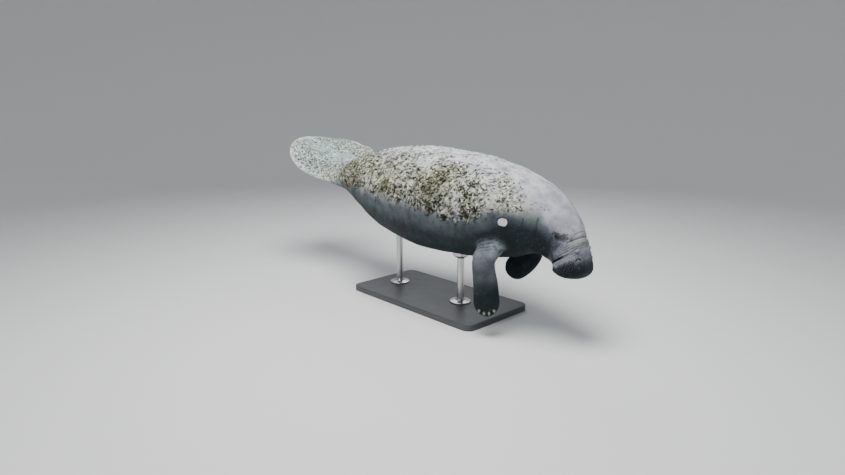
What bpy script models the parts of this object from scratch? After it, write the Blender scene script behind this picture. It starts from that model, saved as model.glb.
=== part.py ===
# A life-size adult manatee, swimming level with its head bent down, on a display stand.
# The animal looks along +X with its left side at +Y, and +Z is up. The origin is the
# middle of the underside of the stand's base. All sizes are metres.

import math

import bmesh
import bpy
import numpy as np
from mathutils import Vector

# Main sizes
BODY_LENGTH = 3.00          # along the spine, muzzle to tail tip
MID_BODY = 1.30             # distance back from the muzzle that stands over the origin
SPINE_HEIGHT = 0.76         # height of the spine there
GAP = 0.0003                # clearance between pieces that touch
RING_POINTS = 52            # points round the body
SPINE_STEP = 0.005          # step for walking along the spine

# Girth of the body at places back from the muzzle: half width, height above
# the spine, depth below it, and how square the section is (2 is an ellipse)
MUZZLE_CAP = 0.075
GIRTH = [
    (MUZZLE_CAP, 0.098, 0.080, 0.117, 2.5),     # lip pads
    (0.15, 0.106, 0.101, 0.120, 2.4),           # snout
    (0.24, 0.142, 0.137, 0.142, 2.2),           # eyes
    (0.36, 0.198, 0.187, 0.192, 2.1),           # nape
    (0.48, 0.243, 0.238, 0.238, 2.1),           # neck
    (0.68, 0.303, 0.297, 0.292, 2.1),           # shoulders
    (0.95, 0.352, 0.331, 0.336, 2.1),           # chest
    (1.30, 0.373, 0.341, 0.362, 2.1),           # belly
    (1.65, 0.340, 0.305, 0.319, 2.1),           # loin
    (1.95, 0.252, 0.232, 0.237, 2.1),           # rump
    (2.20, 0.212, 0.150, 0.135, 1.9),           # tail stock
    (2.38, 0.248, 0.080, 0.085, 1.6),           # root of the paddle
    (2.54, 0.288, 0.055, 0.055, 1.5),           # paddle
    (2.70, 0.315, 0.035, 0.035, 1.5),           # widest part of the paddle
    (BODY_LENGTH, 0.306, 0.020, 0.020, 1.5),    # tip of the paddle, before it is rounded
]
MUZZLE_ROUNDNESS = 2.6
PADDLE_ROUNDNESS = 2.3
PADDLE_CAP_FROM = 2.70

# Pose of the spine: degrees at places back from the muzzle
PITCH = [(0, 78), (0.25, 40), (0.60, 2.5), (1.30, 3.4), (1.95, 4.6), (2.35, 14), (BODY_LENGTH, 32)]
YAW = [(0, -0.4), (0.35, -0.4), (0.90, 0), (1.50, 0), (2.05, -6), (2.45, 3), (BODY_LENGTH, 3.5)]
ROLL = [(0, 0), (1.80, 0), (2.12, 14), (2.42, 22), (BODY_LENGTH, 0)]
MARGIN_LIFT = 0.070         # how far the paddle's left margin is flexed upwards
MARGIN_LIFT_AT = 2.36
MARGIN_LIFT_LENGTH = 0.18

# Rings of the body: each run ends at a place and has so many rings
HEAD_RUNS = [(0.126, 4), (0.148, 4), (0.20, 5), (0.28, 6), (0.36, 5)]
NECK_RUNS = [(0.50, 6)]
TORSO_FRONT_RUNS = [(0.98, 10)]
TORSO_MIDDLE_RUNS = [(1.45, 6)]
TORSO_REAR_RUNS = [(1.95, 7)]
TAIL_STOCK_RUNS = [(2.35, 7)]
PADDLE_RUNS = [(PADDLE_CAP_FROM, 6)]
MUZZLE_CAP_RINGS = 6
PADDLE_CAP_RINGS = 9

# Places on the head: distance back from the muzzle and degrees from the top of the ring
EYE_PLACE = (0.239, 64)
EYE_RADIUS = 0.012
EYE_SUNK = 0.0065
LID_RADIUS = 0.0120
LID_THICKNESS = 0.0042
LID_STRETCH = 1.25
NOSTRIL_PLACE = (0.099, 40)
NOSTRIL_HALF_LENGTH = 0.013
NOSTRIL_RADIUS = 0.0040
NOSTRIL_DEPTH = 0.010
NOSTRIL_ARC = math.radians(75)
MOUTH_MIDDLE = (0.050, 180)
MOUTH_CORNER = (0.112, 122)
MOUTH_RADIUS = 0.0055
MOUTH_STEPS = 9
CREASE_PLACE = 0.137        # the fold between the lip pads and the cheeks
CREASE_RISE = 0.009         # how much further back it lies at the corner of the mouth
LIP_SPAN = 0.11             # half width of the lip pads together
THROAT_FOLDS = (0.325, 0.40, 0.465)

# Notch in the left margin of the paddle
NOTCH_PLACE = 2.915
NOTCH_DEPTH = 0.016
NOTCH_LENGTH = 0.022

# Flippers: the places of their middle line, from inside the shoulder to the tip,
# and the direction across the blade at the root and at the tip
RIGHT_LINE = [(0.655, -0.115, -0.090), (0.700, -0.220, -0.188), (0.673, -0.273, -0.297),
              (0.699, -0.277, -0.440), (0.723, -0.289, -0.622)]
RIGHT_ACROSS = [(1.00, 0.15, -0.20), (0.80, 0.60, 0.00)]
LEFT_LINE = [(0.660, 0.130, -0.110), (0.675, 0.235, -0.235), (0.675, 0.210, -0.330),
             (0.680, 0.110, -0.380), (0.655, -0.030, -0.400)]
LEFT_ACROSS = [(1.00, 0.00, -0.10), (0.55, 0.00, -0.83)]
FLIPPER_WIDTH = [(0, 0.178), (0.25, 0.158), (0.45, 0.140), (0.70, 0.150), (0.88, 0.158), (1, 0.150)]
FLIPPER_THICKNESS = [(0, 0.120), (0.25, 0.098), (0.45, 0.074), (0.70, 0.050), (1, 0.030)]
FLIPPER_TIP = 0.16          # share of the length in the rounded tip
FLIPPER_RINGS = 13
FLIPPER_TIP_RINGS = 5
FLIPPER_POINTS = 18
NAIL_COUNT = 4
NAIL_SIZE = (0.0075, 0.0125, 0.0034)     # half width, half length, half thickness
NAIL_SPACING = 0.029
NAIL_BACK = 0.020           # middle of a nail back from the blade's edge
NAIL_FAN = 0.5              # how far the outer nails turn outwards
NAIL_ROWS = 6

# Stand
BASE_SIZE = (1.20, 0.62, 0.040)
BASE_CORNER = 0.06
BASE_EDGE = 0.006
ROD_PLACES = {"front": 0.24, "rear": -0.40}
ROD_RADIUS = 0.025
FOOT_RADIUS = 0.075
COLLAR_RADIUS = 0.055
COLLAR_DROP = 0.045         # how far the collar starts below the belly
ROD_SIDES = 32


def clear_scene():
    for item in list(bpy.data.objects):
        bpy.data.objects.remove(item, do_unlink=True)


def make_finish(name, colour, roughness, metallic=0.0):
    finish = bpy.data.materials.new(name)
    finish.use_nodes = True
    shader = finish.node_tree.nodes["Principled BSDF"]
    shader.inputs["Base Color"].default_value = (*colour, 1.0)
    shader.inputs["Roughness"].default_value = roughness
    shader.inputs["Metallic"].default_value = metallic
    finish.diffuse_color = (*colour, 1.0)
    return finish


def end_slope(near_step, far_step, near_rise, far_rise):
    slope = ((2 * near_step + far_step) * near_rise - near_step * far_rise) / (near_step + far_step)
    if slope * near_rise <= 0:
        return 0.0
    if near_rise * far_rise <= 0 and abs(slope) > 3 * abs(near_rise):
        return 3 * near_rise
    return slope


def smooth_through(knots, places):
    # A smooth curve through (place, value) knots that doesn't overshoot between them
    at, value = np.array(knots, float).T
    step = np.diff(at)
    rise = np.diff(value) / step
    slope = np.zeros(len(at))
    for i in range(1, len(at) - 1):
        if rise[i - 1] * rise[i] > 0:
            before = 2 * step[i] + step[i - 1]
            after = step[i] + 2 * step[i - 1]
            slope[i] = (before + after) / (before / rise[i - 1] + after / rise[i])
    slope[0] = end_slope(step[0], step[1], rise[0], rise[1])
    slope[-1] = end_slope(step[-1], step[-2], rise[-1], rise[-2])
    places = np.asarray(places, float)
    k = np.clip(np.searchsorted(at, places, side="right") - 1, 0, len(step) - 1)
    t = (places - at[k]) / step[k]
    return ((1 + 2 * t) * (1 - t) ** 2 * value[k] + t * (1 - t) ** 2 * step[k] * slope[k]
            + t * t * (3 - 2 * t) * value[k + 1] + t * t * (t - 1) * step[k] * slope[k + 1])


def hill(x, centre, width):
    return np.exp(-((x - centre) / width) ** 2)


def smooth_rise(x, start, end):
    t = np.clip((x - start) / (end - start), 0, 1)
    return t * t * (3 - 2 * t)


def plateau(x, low, high, fade):
    return smooth_rise(x, low - fade, low) * (1 - smooth_rise(x, high, high + fade))


def unit(vectors):
    return vectors / np.linalg.norm(vectors, axis=-1, keepdims=True)


def tail_direction(places):
    pitch = np.radians(smooth_through(PITCH, places))
    yaw = np.radians(smooth_through(YAW, places))
    return np.stack([-np.cos(pitch) * np.cos(yaw), -np.cos(pitch) * np.sin(yaw), np.sin(pitch)], -1)


def walk_spine():
    # The spine's points, from the directions along it, with MID_BODY over the origin
    places = np.arange(0, BODY_LENGTH + SPINE_STEP / 2, SPINE_STEP)
    heading = tail_direction(places)
    steps = (heading[1:] + heading[:-1]) / 2 * SPINE_STEP
    points = np.vstack([np.zeros(3), np.cumsum(steps, axis=0)])
    middle = np.array([np.interp(MID_BODY, places, points[:, axis]) for axis in range(3)])
    return places, points - middle + np.array([0, 0, SPINE_HEIGHT])


SPINE_PLACES, SPINE_POINTS = walk_spine()


def spine_frame(places):
    # Middle, direction to the tail, direction to the animal's left and its up
    centre = np.stack([np.interp(places, SPINE_PLACES, SPINE_POINTS[:, axis]) for axis in range(3)], -1)
    back = tail_direction(places)
    left = unit(np.cross(np.array([0.0, 0.0, 1.0]), -back))
    up = np.cross(-back, left)
    roll = np.radians(smooth_through(ROLL, places))[..., None]
    return centre, back, left * np.cos(roll) + up * np.sin(roll), up * np.cos(roll) - left * np.sin(roll)


def cap_scale(places):
    nose = np.clip(places / MUZZLE_CAP, 0, 1)
    nose = (1 - (1 - nose) ** MUZZLE_ROUNDNESS) ** (1 / MUZZLE_ROUNDNESS)
    tail = np.clip((places - PADDLE_CAP_FROM) / (BODY_LENGTH - PADDLE_CAP_FROM), 0, 1)
    return nose * (1 - tail ** PADDLE_ROUNDNESS) ** (1 / PADDLE_ROUNDNESS)


def plain_skin(places, turns):
    # Points of the smooth body; a turn of 0 is the left side and of 90 degrees the top
    places, turns = np.broadcast_arrays(np.asarray(places, float), np.asarray(turns, float))
    centre, _, left, up = spine_frame(places)
    girth = np.maximum(places, MUZZLE_CAP)
    width, above, below, square = [
        smooth_through([(row[0], row[column]) for row in GIRTH], girth) for column in range(1, 5)]
    cap = cap_scale(places)
    across = np.cos(turns)
    upright = np.sin(turns)
    sideways = np.sign(across) * np.abs(across) ** (2 / square) * width * cap
    height = np.where(upright > 0, above, below) * cap
    upwards = np.sign(upright) * np.abs(upright) ** (2 / square) * height
    left_margin = np.clip(across, 0, 1) ** 2
    lift = MARGIN_LIFT * hill(places, MARGIN_LIFT_AT, MARGIN_LIFT_LENGTH) * left_margin
    notch = NOTCH_DEPTH * hill(places, NOTCH_PLACE, NOTCH_LENGTH) * left_margin ** 2
    return centre + left * (sideways - notch)[..., None] + up * (upwards + lift)[..., None]


def relief(places, turns):
    # Height of the folds and swellings over the smooth body
    degrees = np.degrees(turns) % 360
    from_top = np.abs(90 - np.where(degrees > 270, degrees - 360, degrees))
    lip_sideways = np.sin(np.radians(from_top)) * LIP_SPAN * cap_scale(places)
    lip_upright = np.cos(np.radians(from_top)) * LIP_SPAN * cap_scale(places)
    height = 0.015 * hill(places, 0.088, 0.034) * plateau(from_top, 84, 140, 32)       # lip pads
    height += 0.010 * hill(places, 0.205, 0.040) * plateau(from_top, 62, 125, 26)      # cheeks
    height += 0.003 * hill(places, NOSTRIL_PLACE[0], 0.026) * hill(from_top, NOSTRIL_PLACE[1], 17)
    height += 0.005 * hill(places, 0.162, 0.014) * plateau(from_top, 0, 48, 20)        # snout roll
    height += 0.008 * hill(places, 0.105, 0.028) * plateau(from_top, 158, 180, 14)     # lower lip
    height += 0.006 * hill(places, 0.250, 0.030) * hill(from_top, EYE_PLACE[1] - 24, 16)   # brow
    height += 0.016 * hill(places, 0.640, 0.090) * hill(from_top, 112, 26)             # shoulders
    crease = CREASE_PLACE + CREASE_RISE * smooth_rise(from_top, 60, 120)
    height -= 0.018 * hill(places, crease, 0.0072) * plateau(from_top, 50, 126, 18)
    height -= 0.005 * hill(places, 0.186, 0.0075) * plateau(from_top, 0, 42, 14)       # snout crease
    height -= (0.008 * hill(lip_sideways, 0, 0.013) * (1 - smooth_rise(lip_upright, 0, 0.05))
               * (1 - smooth_rise(places, 0.035, 0.060)))                              # cleft lip
    height -= 0.005 * hill(places, 0.243, 0.020) * hill(from_top, EYE_PLACE[1], 11)    # eye hollow
    for fold in THROAT_FOLDS:
        height -= 0.008 * hill(places, fold, 0.018) * plateau(from_top, 142, 180, 34)
    return height


def skin(places, turns):
    # Points of the body with its folds. Behind the snout a ring stays in its plane
    places, turns = np.broadcast_arrays(np.asarray(places, float), np.asarray(turns, float))
    point = plain_skin(places, turns)
    reach = 0.002
    along = plain_skin(places + reach, turns) - plain_skin(np.maximum(places - reach, 0), turns)
    round_ring = plain_skin(places, turns + reach) - plain_skin(places, turns - reach)
    facing = np.cross(along, round_ring)
    back = spine_frame(places)[1]
    in_plane = facing - back * np.sum(facing * back, axis=-1, keepdims=True)
    blend = smooth_rise(places, 0.12, 0.20)[..., None]
    facing = unit(unit(facing) * (1 - blend) + unit(in_plane) * blend)
    outwards = np.sign(np.sum(facing * (point - spine_frame(places + 0.02)[0]), axis=-1, keepdims=True))
    return point + facing * outwards * relief(places, turns)[..., None]


def skin_normal(place, turn):
    reach = 0.003
    along = skin(place + reach, turn) - skin(place - reach, turn)
    round_ring = skin(place, turn + reach) - skin(place, turn - reach)
    normal = unit(np.cross(along, round_ring))
    return normal * np.sign(np.dot(normal, skin(place, turn) - spine_frame(np.array(place))[0]))


def side_turn(from_top, side):
    # The turn of a place that many degrees from the top, on the left (1) or right (-1)
    return math.radians(90 - side * from_top)


def ring_places(start, runs):
    places = [start]
    for end, count in runs:
        places.extend(np.linspace(places[-1], end, count + 1)[1:])
    return places


def mesh_object(name, points, faces, finish, smooth_angle=40):
    mesh = bpy.data.meshes.new(name)
    mesh.from_pydata([tuple(point) for point in points], [], faces)
    shape = bmesh.new()
    shape.from_mesh(mesh)
    bmesh.ops.recalc_face_normals(shape, faces=shape.faces)
    bmesh.ops.triangulate(shape, faces=shape.faces)
    shape.to_mesh(mesh)
    shape.free()
    mesh.materials.append(finish)
    mesh.shade_smooth()
    mesh.set_sharp_from_angle(angle=math.radians(smooth_angle))
    item = bpy.data.objects.new(name, mesh)
    bpy.context.scene.collection.objects.link(item)
    return item


def bridge_rings(rings, start_pole=None, end_pole=None):
    # Points and faces of a closed skin over rings of equal count, with a pole at each end
    count = len(rings[0])
    points = [point for ring in rings for point in ring]
    faces = []
    for row in range(len(rings) - 1):
        for k in range(count):
            after = (k + 1) % count
            faces.append((row * count + k, row * count + after,
                          (row + 1) * count + after, (row + 1) * count + k))
    for row, pole in ((0, start_pole), (len(rings) - 1, end_pole)):
        points.append(np.mean(rings[row], axis=0) if pole is None else pole)
        for k in range(count):
            faces.append((row * count + k, row * count + (k + 1) % count, len(points) - 1))
    return points, faces


def body_length(name, places, finish, start_pole=None, end_pole=None):
    # One length of the body; a cut end stands back from its neighbour by half the gap
    places = np.array(places)
    turns = np.arange(RING_POINTS) * 2 * math.pi / RING_POINTS + math.pi / 2
    rings = skin(places[:, None], turns[None, :])
    back = spine_frame(places)[1]
    if start_pole is None:
        rings[0] += back[0] * GAP / 2
    if end_pole is None:
        rings[-1] -= back[-1] * GAP / 2
    points, faces = bridge_rings(rings, start_pole, end_pole)
    return mesh_object(name, points, faces, finish)


def make_body(finish):
    cap_turn = np.linspace(0, math.pi / 2, MUZZLE_CAP_RINGS + 1)[1:]
    nose_places = list(MUZZLE_CAP * (1 - np.cos(cap_turn)))
    tip_turn = np.linspace(0, math.pi / 2, PADDLE_CAP_RINGS + 1)[1:-1]
    tip_places = list(PADDLE_CAP_FROM + (BODY_LENGTH - PADDLE_CAP_FROM) * np.sin(tip_turn))
    tip_places.append(BODY_LENGTH - 0.002)
    nose = skin(0.0004, math.pi / 2) * 0.5 + skin(0.0004, -math.pi / 2) * 0.5
    tip = spine_frame(np.array(BODY_LENGTH))[0]
    head_places = nose_places[:-1] + ring_places(MUZZLE_CAP, HEAD_RUNS)
    body = {"head": body_length("head", head_places, finish, start_pole=nose)}
    start = HEAD_RUNS[-1][0]
    lengths = {"neck": NECK_RUNS, "torso_front": TORSO_FRONT_RUNS, "torso_middle": TORSO_MIDDLE_RUNS,
               "torso_rear": TORSO_REAR_RUNS, "tail_stock": TAIL_STOCK_RUNS}
    for name, runs in lengths.items():
        body[name] = body_length(name, ring_places(start, runs), finish)
        start = runs[-1][0]
    paddle_places = ring_places(start, PADDLE_RUNS) + tip_places
    body["tail_paddle"] = body_length("tail_paddle", paddle_places, finish, end_pole=tip)
    return body


def apply_modifiers(item):
    depsgraph = bpy.context.evaluated_depsgraph_get()
    mesh = bpy.data.meshes.new_from_object(item.evaluated_get(depsgraph))
    item.modifiers.clear()
    old = item.data
    item.data = mesh
    bpy.data.meshes.remove(old)


def keep_largest(item):
    # Drops the loose scraps that a cut can leave
    shape = bmesh.new()
    shape.from_mesh(item.data)
    left = set(shape.verts)
    groups = []
    while left:
        group = set()
        edge = [left.pop()]
        while edge:
            point = edge.pop()
            group.add(point)
            for link in point.link_edges:
                other = link.other_vert(point)
                if other in left:
                    left.remove(other)
                    edge.append(other)
        groups.append(group)
    groups.sort(key=len)
    scraps = [point for group in groups[:-1] for point in group]
    bmesh.ops.delete(shape, geom=scraps, context="VERTS")
    bmesh.ops.remove_doubles(shape, verts=shape.verts, dist=0.00002)
    shape.to_mesh(item.data)
    shape.free()


def combine(item, tools, operation):
    # Cuts the tools from a piece, or joins them to it, and removes the tools
    for tool in tools:
        boolean = item.modifiers.new("boolean", "BOOLEAN")
        boolean.object = tool
        boolean.operation = operation
        boolean.solver = "EXACT"
    apply_modifiers(item)
    keep_largest(item)
    for tool in tools:
        bpy.data.objects.remove(tool, do_unlink=True)


def grown_copy(item, distance):
    # A copy whose skin stands out by a distance, for cutting what rests on the piece
    copy = item.copy()
    copy.data = item.data.copy()
    bpy.context.scene.collection.objects.link(copy)
    shape = bmesh.new()
    shape.from_mesh(copy.data)
    shape.normal_update()
    moves = [point.normal * distance * point.calc_shell_factor() for point in shape.verts]
    for point, move in zip(shape.verts, moves):
        point.co += move
    shape.to_mesh(copy.data)
    shape.free()
    return copy


def tube(name, points, radii, sides, finish):
    # A closed tube of round rings along points, with a radius at each
    points = np.array(points, float)
    headings = unit(np.gradient(points, axis=0))
    rings = []
    across = np.cross(headings[0], [0.3, 0.5, 0.8])
    for point, heading, radius in zip(points, headings, radii):
        across = unit(across - heading * np.dot(across, heading))
        other = np.cross(heading, across)
        turns = np.arange(sides) * 2 * math.pi / sides
        rings.append([point + radius * (across * math.cos(t) + other * math.sin(t)) for t in turns])
    corners, faces = bridge_rings(rings)
    return mesh_object(name, corners, faces, finish)


def make_mouth(head, finish):
    # The closed line of the mouth, from corner to corner behind the lip pads
    shares = np.linspace(-1, 1, 2 * MOUTH_STEPS + 1)
    points = []
    for share in shares:
        curve = abs(share) ** 1.6
        place = MOUTH_MIDDLE[0] + (MOUTH_CORNER[0] - MOUTH_MIDDLE[0]) * curve
        from_top = MOUTH_MIDDLE[1] + (MOUTH_CORNER[1] - MOUTH_MIDDLE[1]) * abs(share)
        points.append(skin(place, side_turn(from_top, 1 if share > 0 else -1)))
    radii = MOUTH_RADIUS * (1 - 0.55 * np.abs(shares) ** 3)
    combine(head, [tube("mouth_tool", points, radii, 8, finish)], "DIFFERENCE")


def surface_axes(place, from_top, side):
    # A place on the head with its normal, its direction to the muzzle and one across
    turn = side_turn(from_top, side)
    point = skin(place, turn)
    normal = skin_normal(place, turn)
    forward = skin(place - 0.004, turn) - point
    forward = unit(forward - normal * np.dot(forward, normal))
    return point, normal, forward, np.cross(normal, forward)


def make_nostril(head, side, finish):
    # A closed crescent slit, arched towards the forehead, deeper than it is wide
    point, normal, forward, across = surface_axes(*NOSTRIL_PLACE, side)
    bend = NOSTRIL_HALF_LENGTH / math.sin(NOSTRIL_ARC)
    points = []
    for turn in np.linspace(-NOSTRIL_ARC, NOSTRIL_ARC, 7):
        points.append(point + across * bend * math.sin(turn) - forward * bend * (math.cos(turn) - 0.6))
    shares = np.linspace(-1, 1, 7)
    tool = tube("nostril_tool", points, NOSTRIL_RADIUS * (1 - 0.5 * shares ** 2), 8, finish)
    for corner in tool.data.vertices:
        depth = np.dot(np.array(corner.co) - point, normal)
        corner.co += Vector(normal * depth * (NOSTRIL_DEPTH / NOSTRIL_RADIUS - 1))
    combine(head, [tool], "DIFFERENCE")


def ball(name, centre, radius, finish, rows=8, sides=14, axis=(0, 0, 1)):
    # A round ball whose poles lie on an axis
    axis = unit(np.array(axis, float))
    across = unit(np.cross(axis, [0.21, 0.34, 0.55]))
    other = np.cross(axis, across)
    rings = []
    for row in range(1, rows):
        tilt = math.pi * row / rows
        turns = np.arange(sides) * 2 * math.pi / sides
        rings.append([centre + radius * (axis * math.cos(tilt) + math.sin(tilt)
                                         * (across * math.cos(t) + other * math.sin(t))) for t in turns])
    corners, faces = bridge_rings(rings, centre + axis * radius, centre - axis * radius)
    return mesh_object(name, corners, faces, finish)


def make_eye(head, side, skin_finish, eye_finish):
    # Lids as a low stretched ring round the eye, then the eye in its socket
    point, normal, forward, across = surface_axes(*EYE_PLACE, side)
    centre = point - normal * EYE_SUNK
    turns = np.arange(16) * 2 * math.pi / 16
    rings = []
    for turn in turns:
        out = forward * math.cos(turn) * LID_STRETCH + across * math.sin(turn)
        middle = point + out * LID_RADIUS
        out = unit(out)
        rings.append([middle + LID_THICKNESS * (out * math.cos(t) + normal * math.sin(t))
                      for t in np.arange(6) * math.pi / 3])
    corners = [corner for ring in rings for corner in ring]
    faces = []
    for row in range(16):
        for k in range(6):
            faces.append((row * 6 + k, row * 6 + (k + 1) % 6,
                          (row + 1) % 16 * 6 + (k + 1) % 6, (row + 1) % 16 * 6 + k))
    lids = mesh_object("lids_tool", corners, faces, skin_finish)
    combine(head, [lids], "UNION")
    socket = ball("socket_tool", centre, EYE_RADIUS + GAP, skin_finish, axis=normal)
    combine(head, [socket], "DIFFERENCE")
    name = "eye_left" if side > 0 else "eye_right"
    return ball(name, centre, EYE_RADIUS - GAP / 4, eye_finish, axis=normal)


def flipper_frame(line, across_ends, share):
    # Middle, heading, direction across and direction through a flipper at a share of its length
    line = np.array(line) + np.array([0, 0, SPINE_HEIGHT])
    steps = np.linalg.norm(np.diff(line, axis=0), axis=1)
    shares = np.concatenate([[0], np.cumsum(steps)]) / steps.sum()
    knots = [list(zip(shares, line[:, axis])) for axis in range(3)]

    def middle(at):
        return np.array([float(smooth_through(knot, at)) for knot in knots])
    heading = unit(middle(min(share + 0.03, 1)) - middle(share - 0.03 if share > 0.03 else 0))
    root, tip = np.array(across_ends, float)
    mix = float(smooth_rise(share, 0.15, 0.75))
    across = root * (1 - mix) + tip * mix
    across = unit(across - heading * np.dot(across, heading))
    return middle(share), heading, across, np.cross(heading, across)


def flipper_section(share):
    # Half width and half thickness, rounded off over the tip
    tip = np.clip((share - 1 + FLIPPER_TIP) / FLIPPER_TIP, 0, 1)
    rounding = (1 - tip ** 2.2) ** (1 / 2.0)
    width = float(smooth_through(FLIPPER_WIDTH, share)) / 2 * rounding
    thickness = float(smooth_through(FLIPPER_THICKNESS, share)) / 2 * rounding ** 0.5
    return width, thickness


def make_flipper(name, line, across_ends, body, finish):
    shares = list(np.linspace(0, 1 - FLIPPER_TIP, FLIPPER_RINGS))
    tip_turn = np.linspace(0, math.pi / 2, FLIPPER_TIP_RINGS + 1)[1:-1]
    shares += list(1 - FLIPPER_TIP * (1 - np.sin(tip_turn))) + [0.997]
    turns = np.arange(FLIPPER_POINTS) * 2 * math.pi / FLIPPER_POINTS
    rings = []
    for share in shares:
        centre, _, across, through = flipper_frame(line, across_ends, share)
        width, thickness = flipper_section(share)
        rings.append([centre + across * width * math.cos(t) + through * thickness * math.sin(t)
                      for t in turns])
    tip = flipper_frame(line, across_ends, 1)[0]
    corners, faces = bridge_rings(rings, end_pole=tip)
    flipper = mesh_object(name, corners, faces, finish)
    combine(flipper, [grown_copy(body[part], GAP) for part in ("neck", "torso_front")], "DIFFERENCE")
    return flipper


def make_nails(side_name, line, across_ends, face, flipper, finish):
    # Nails in a row along the blade's rounded tip, on its outer face
    length = np.linalg.norm(np.diff(np.array(line), axis=0), axis=1).sum()
    half_tip = FLIPPER_WIDTH[-1][1] / 2
    half_width, half_length, half_thickness = NAIL_SIZE
    for number in range(NAIL_COUNT):
        offset = (number - (NAIL_COUNT - 1) / 2) * NAIL_SPACING
        rounding = 1 - math.sqrt(1 - (offset / half_tip) ** 2)
        share = 1 - FLIPPER_TIP * rounding - NAIL_BACK / length
        centre, heading, across, through = flipper_frame(line, across_ends, share)
        width, thickness = flipper_section(share)
        height = thickness * math.sqrt(1 - (offset / width) ** 2)
        place = centre + across * offset + through * face * height
        lean = unit(heading + across * offset / half_tip * NAIL_FAN)
        wide = unit(np.cross(lean, through))
        rings = []
        for row in range(1, NAIL_ROWS):
            tilt = math.pi * row / NAIL_ROWS
            turns = np.arange(8) * math.pi / 4
            rings.append([place - lean * half_length * math.cos(tilt) + math.sin(tilt)
                          * (wide * half_width * math.cos(t) + through * half_thickness * math.sin(t))
                          for t in turns])
        corners, faces = bridge_rings(rings, place - lean * half_length, place + lean * half_length)
        nail = mesh_object("nail_" + side_name + "_" + str(number + 1), corners, faces, finish)
        combine(nail, [grown_copy(flipper, GAP)], "DIFFERENCE")


def make_base(finish):
    # A flat plate with round corners and eased edges
    length, width, height = BASE_SIZE
    bpy.ops.mesh.primitive_cube_add(size=1, location=(0, 0, height / 2))
    base = bpy.context.object
    base.name = "stand_base"
    base.data.name = "stand_base"
    for corner in base.data.vertices:
        corner.co = Vector((corner.co.x * length, corner.co.y * width, corner.co.z * height))
    shape = bmesh.new()
    shape.from_mesh(base.data)
    upright = [edge for edge in shape.edges
               if abs(edge.verts[0].co.z - edge.verts[1].co.z) > height / 2]
    bmesh.ops.bevel(shape, geom=upright, offset=BASE_CORNER, segments=6, profile=0.5, affect="EDGES")
    top = [edge for edge in shape.edges if min(point.co.z for point in edge.verts) > height / 2 - 1e-6]
    bmesh.ops.bevel(shape, geom=top, offset=BASE_EDGE, segments=2, profile=0.5, affect="EDGES")
    shape.to_mesh(base.data)
    shape.free()
    base.data.materials.append(finish)
    return base


def make_rod(name, x, body, finish):
    # A turned rod with a foot on the base and a collar under the belly
    parts = [body["torso_middle"], body["torso_rear"]]
    belly = min(hit.z for hit in (belly_under(part, x) for part in parts) if hit is not None)
    foot = BASE_SIZE[2] + GAP
    collar = belly - COLLAR_DROP
    profile = [(FOOT_RADIUS, foot), (FOOT_RADIUS, foot + 0.007), (FOOT_RADIUS - 0.003, foot + 0.010),
               (ROD_RADIUS + 0.012, foot + 0.016), (ROD_RADIUS, foot + 0.030), (ROD_RADIUS, collar),
               (COLLAR_RADIUS - 0.002, collar + 0.018), (COLLAR_RADIUS, collar + 0.023),
               (COLLAR_RADIUS, belly + 0.06)]
    turns = np.arange(ROD_SIDES) * 2 * math.pi / ROD_SIDES
    rings = [[np.array([x + radius * math.cos(t), radius * math.sin(t), z]) for t in turns]
             for radius, z in profile]
    corners, faces = bridge_rings(rings)
    rod = mesh_object(name, corners, faces, finish, smooth_angle=30)
    combine(rod, [grown_copy(part, GAP) for part in parts], "DIFFERENCE")
    return rod


def belly_under(part, x):
    # Where a line straight up from below meets a part of the body
    hit, place, _, _ = part.ray_cast(Vector((x, 0, -1)), Vector((0, 0, 1)))
    return place if hit else None


def main():
    clear_scene()
    hide = make_finish("hide", (0.20, 0.24, 0.28), 0.62)
    flipper_hide = make_finish("flipper_hide", (0.16, 0.20, 0.24), 0.60)
    eye_finish = make_finish("eye_dark", (0.015, 0.013, 0.012), 0.12)
    nail_finish = make_finish("nail_horn", (0.42, 0.38, 0.32), 0.45)
    base_finish = make_finish("base_paint", (0.10, 0.11, 0.12), 0.50)
    rod_finish = make_finish("rod_steel", (0.60, 0.61, 0.62), 0.32, metallic=1.0)

    body = make_body(hide)
    right = make_flipper("flipper_right", RIGHT_LINE, RIGHT_ACROSS, body, flipper_hide)
    left = make_flipper("flipper_left", LEFT_LINE, LEFT_ACROSS, body, flipper_hide)
    make_nails("right", RIGHT_LINE, RIGHT_ACROSS, 1, right, nail_finish)
    make_nails("left", LEFT_LINE, LEFT_ACROSS, -1, left, nail_finish)
    make_base(base_finish)
    for place, x in ROD_PLACES.items():
        make_rod("stand_rod_" + place, x, body, rod_finish)
    make_mouth(body["head"], hide)
    for side in (1, -1):
        make_nostril(body["head"], side, hide)
        make_eye(body["head"], side, hide, eye_finish)


main()
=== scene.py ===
# A life-size manatee, swimming level with its head bent down, on a display stand.
# It looks along +X with its left side at +Y. All sizes are metres.

import math

import bpy
import numpy as np
from mathutils import Matrix, Vector, kdtree, noise
from mathutils.bvhtree import BVHTree


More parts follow.
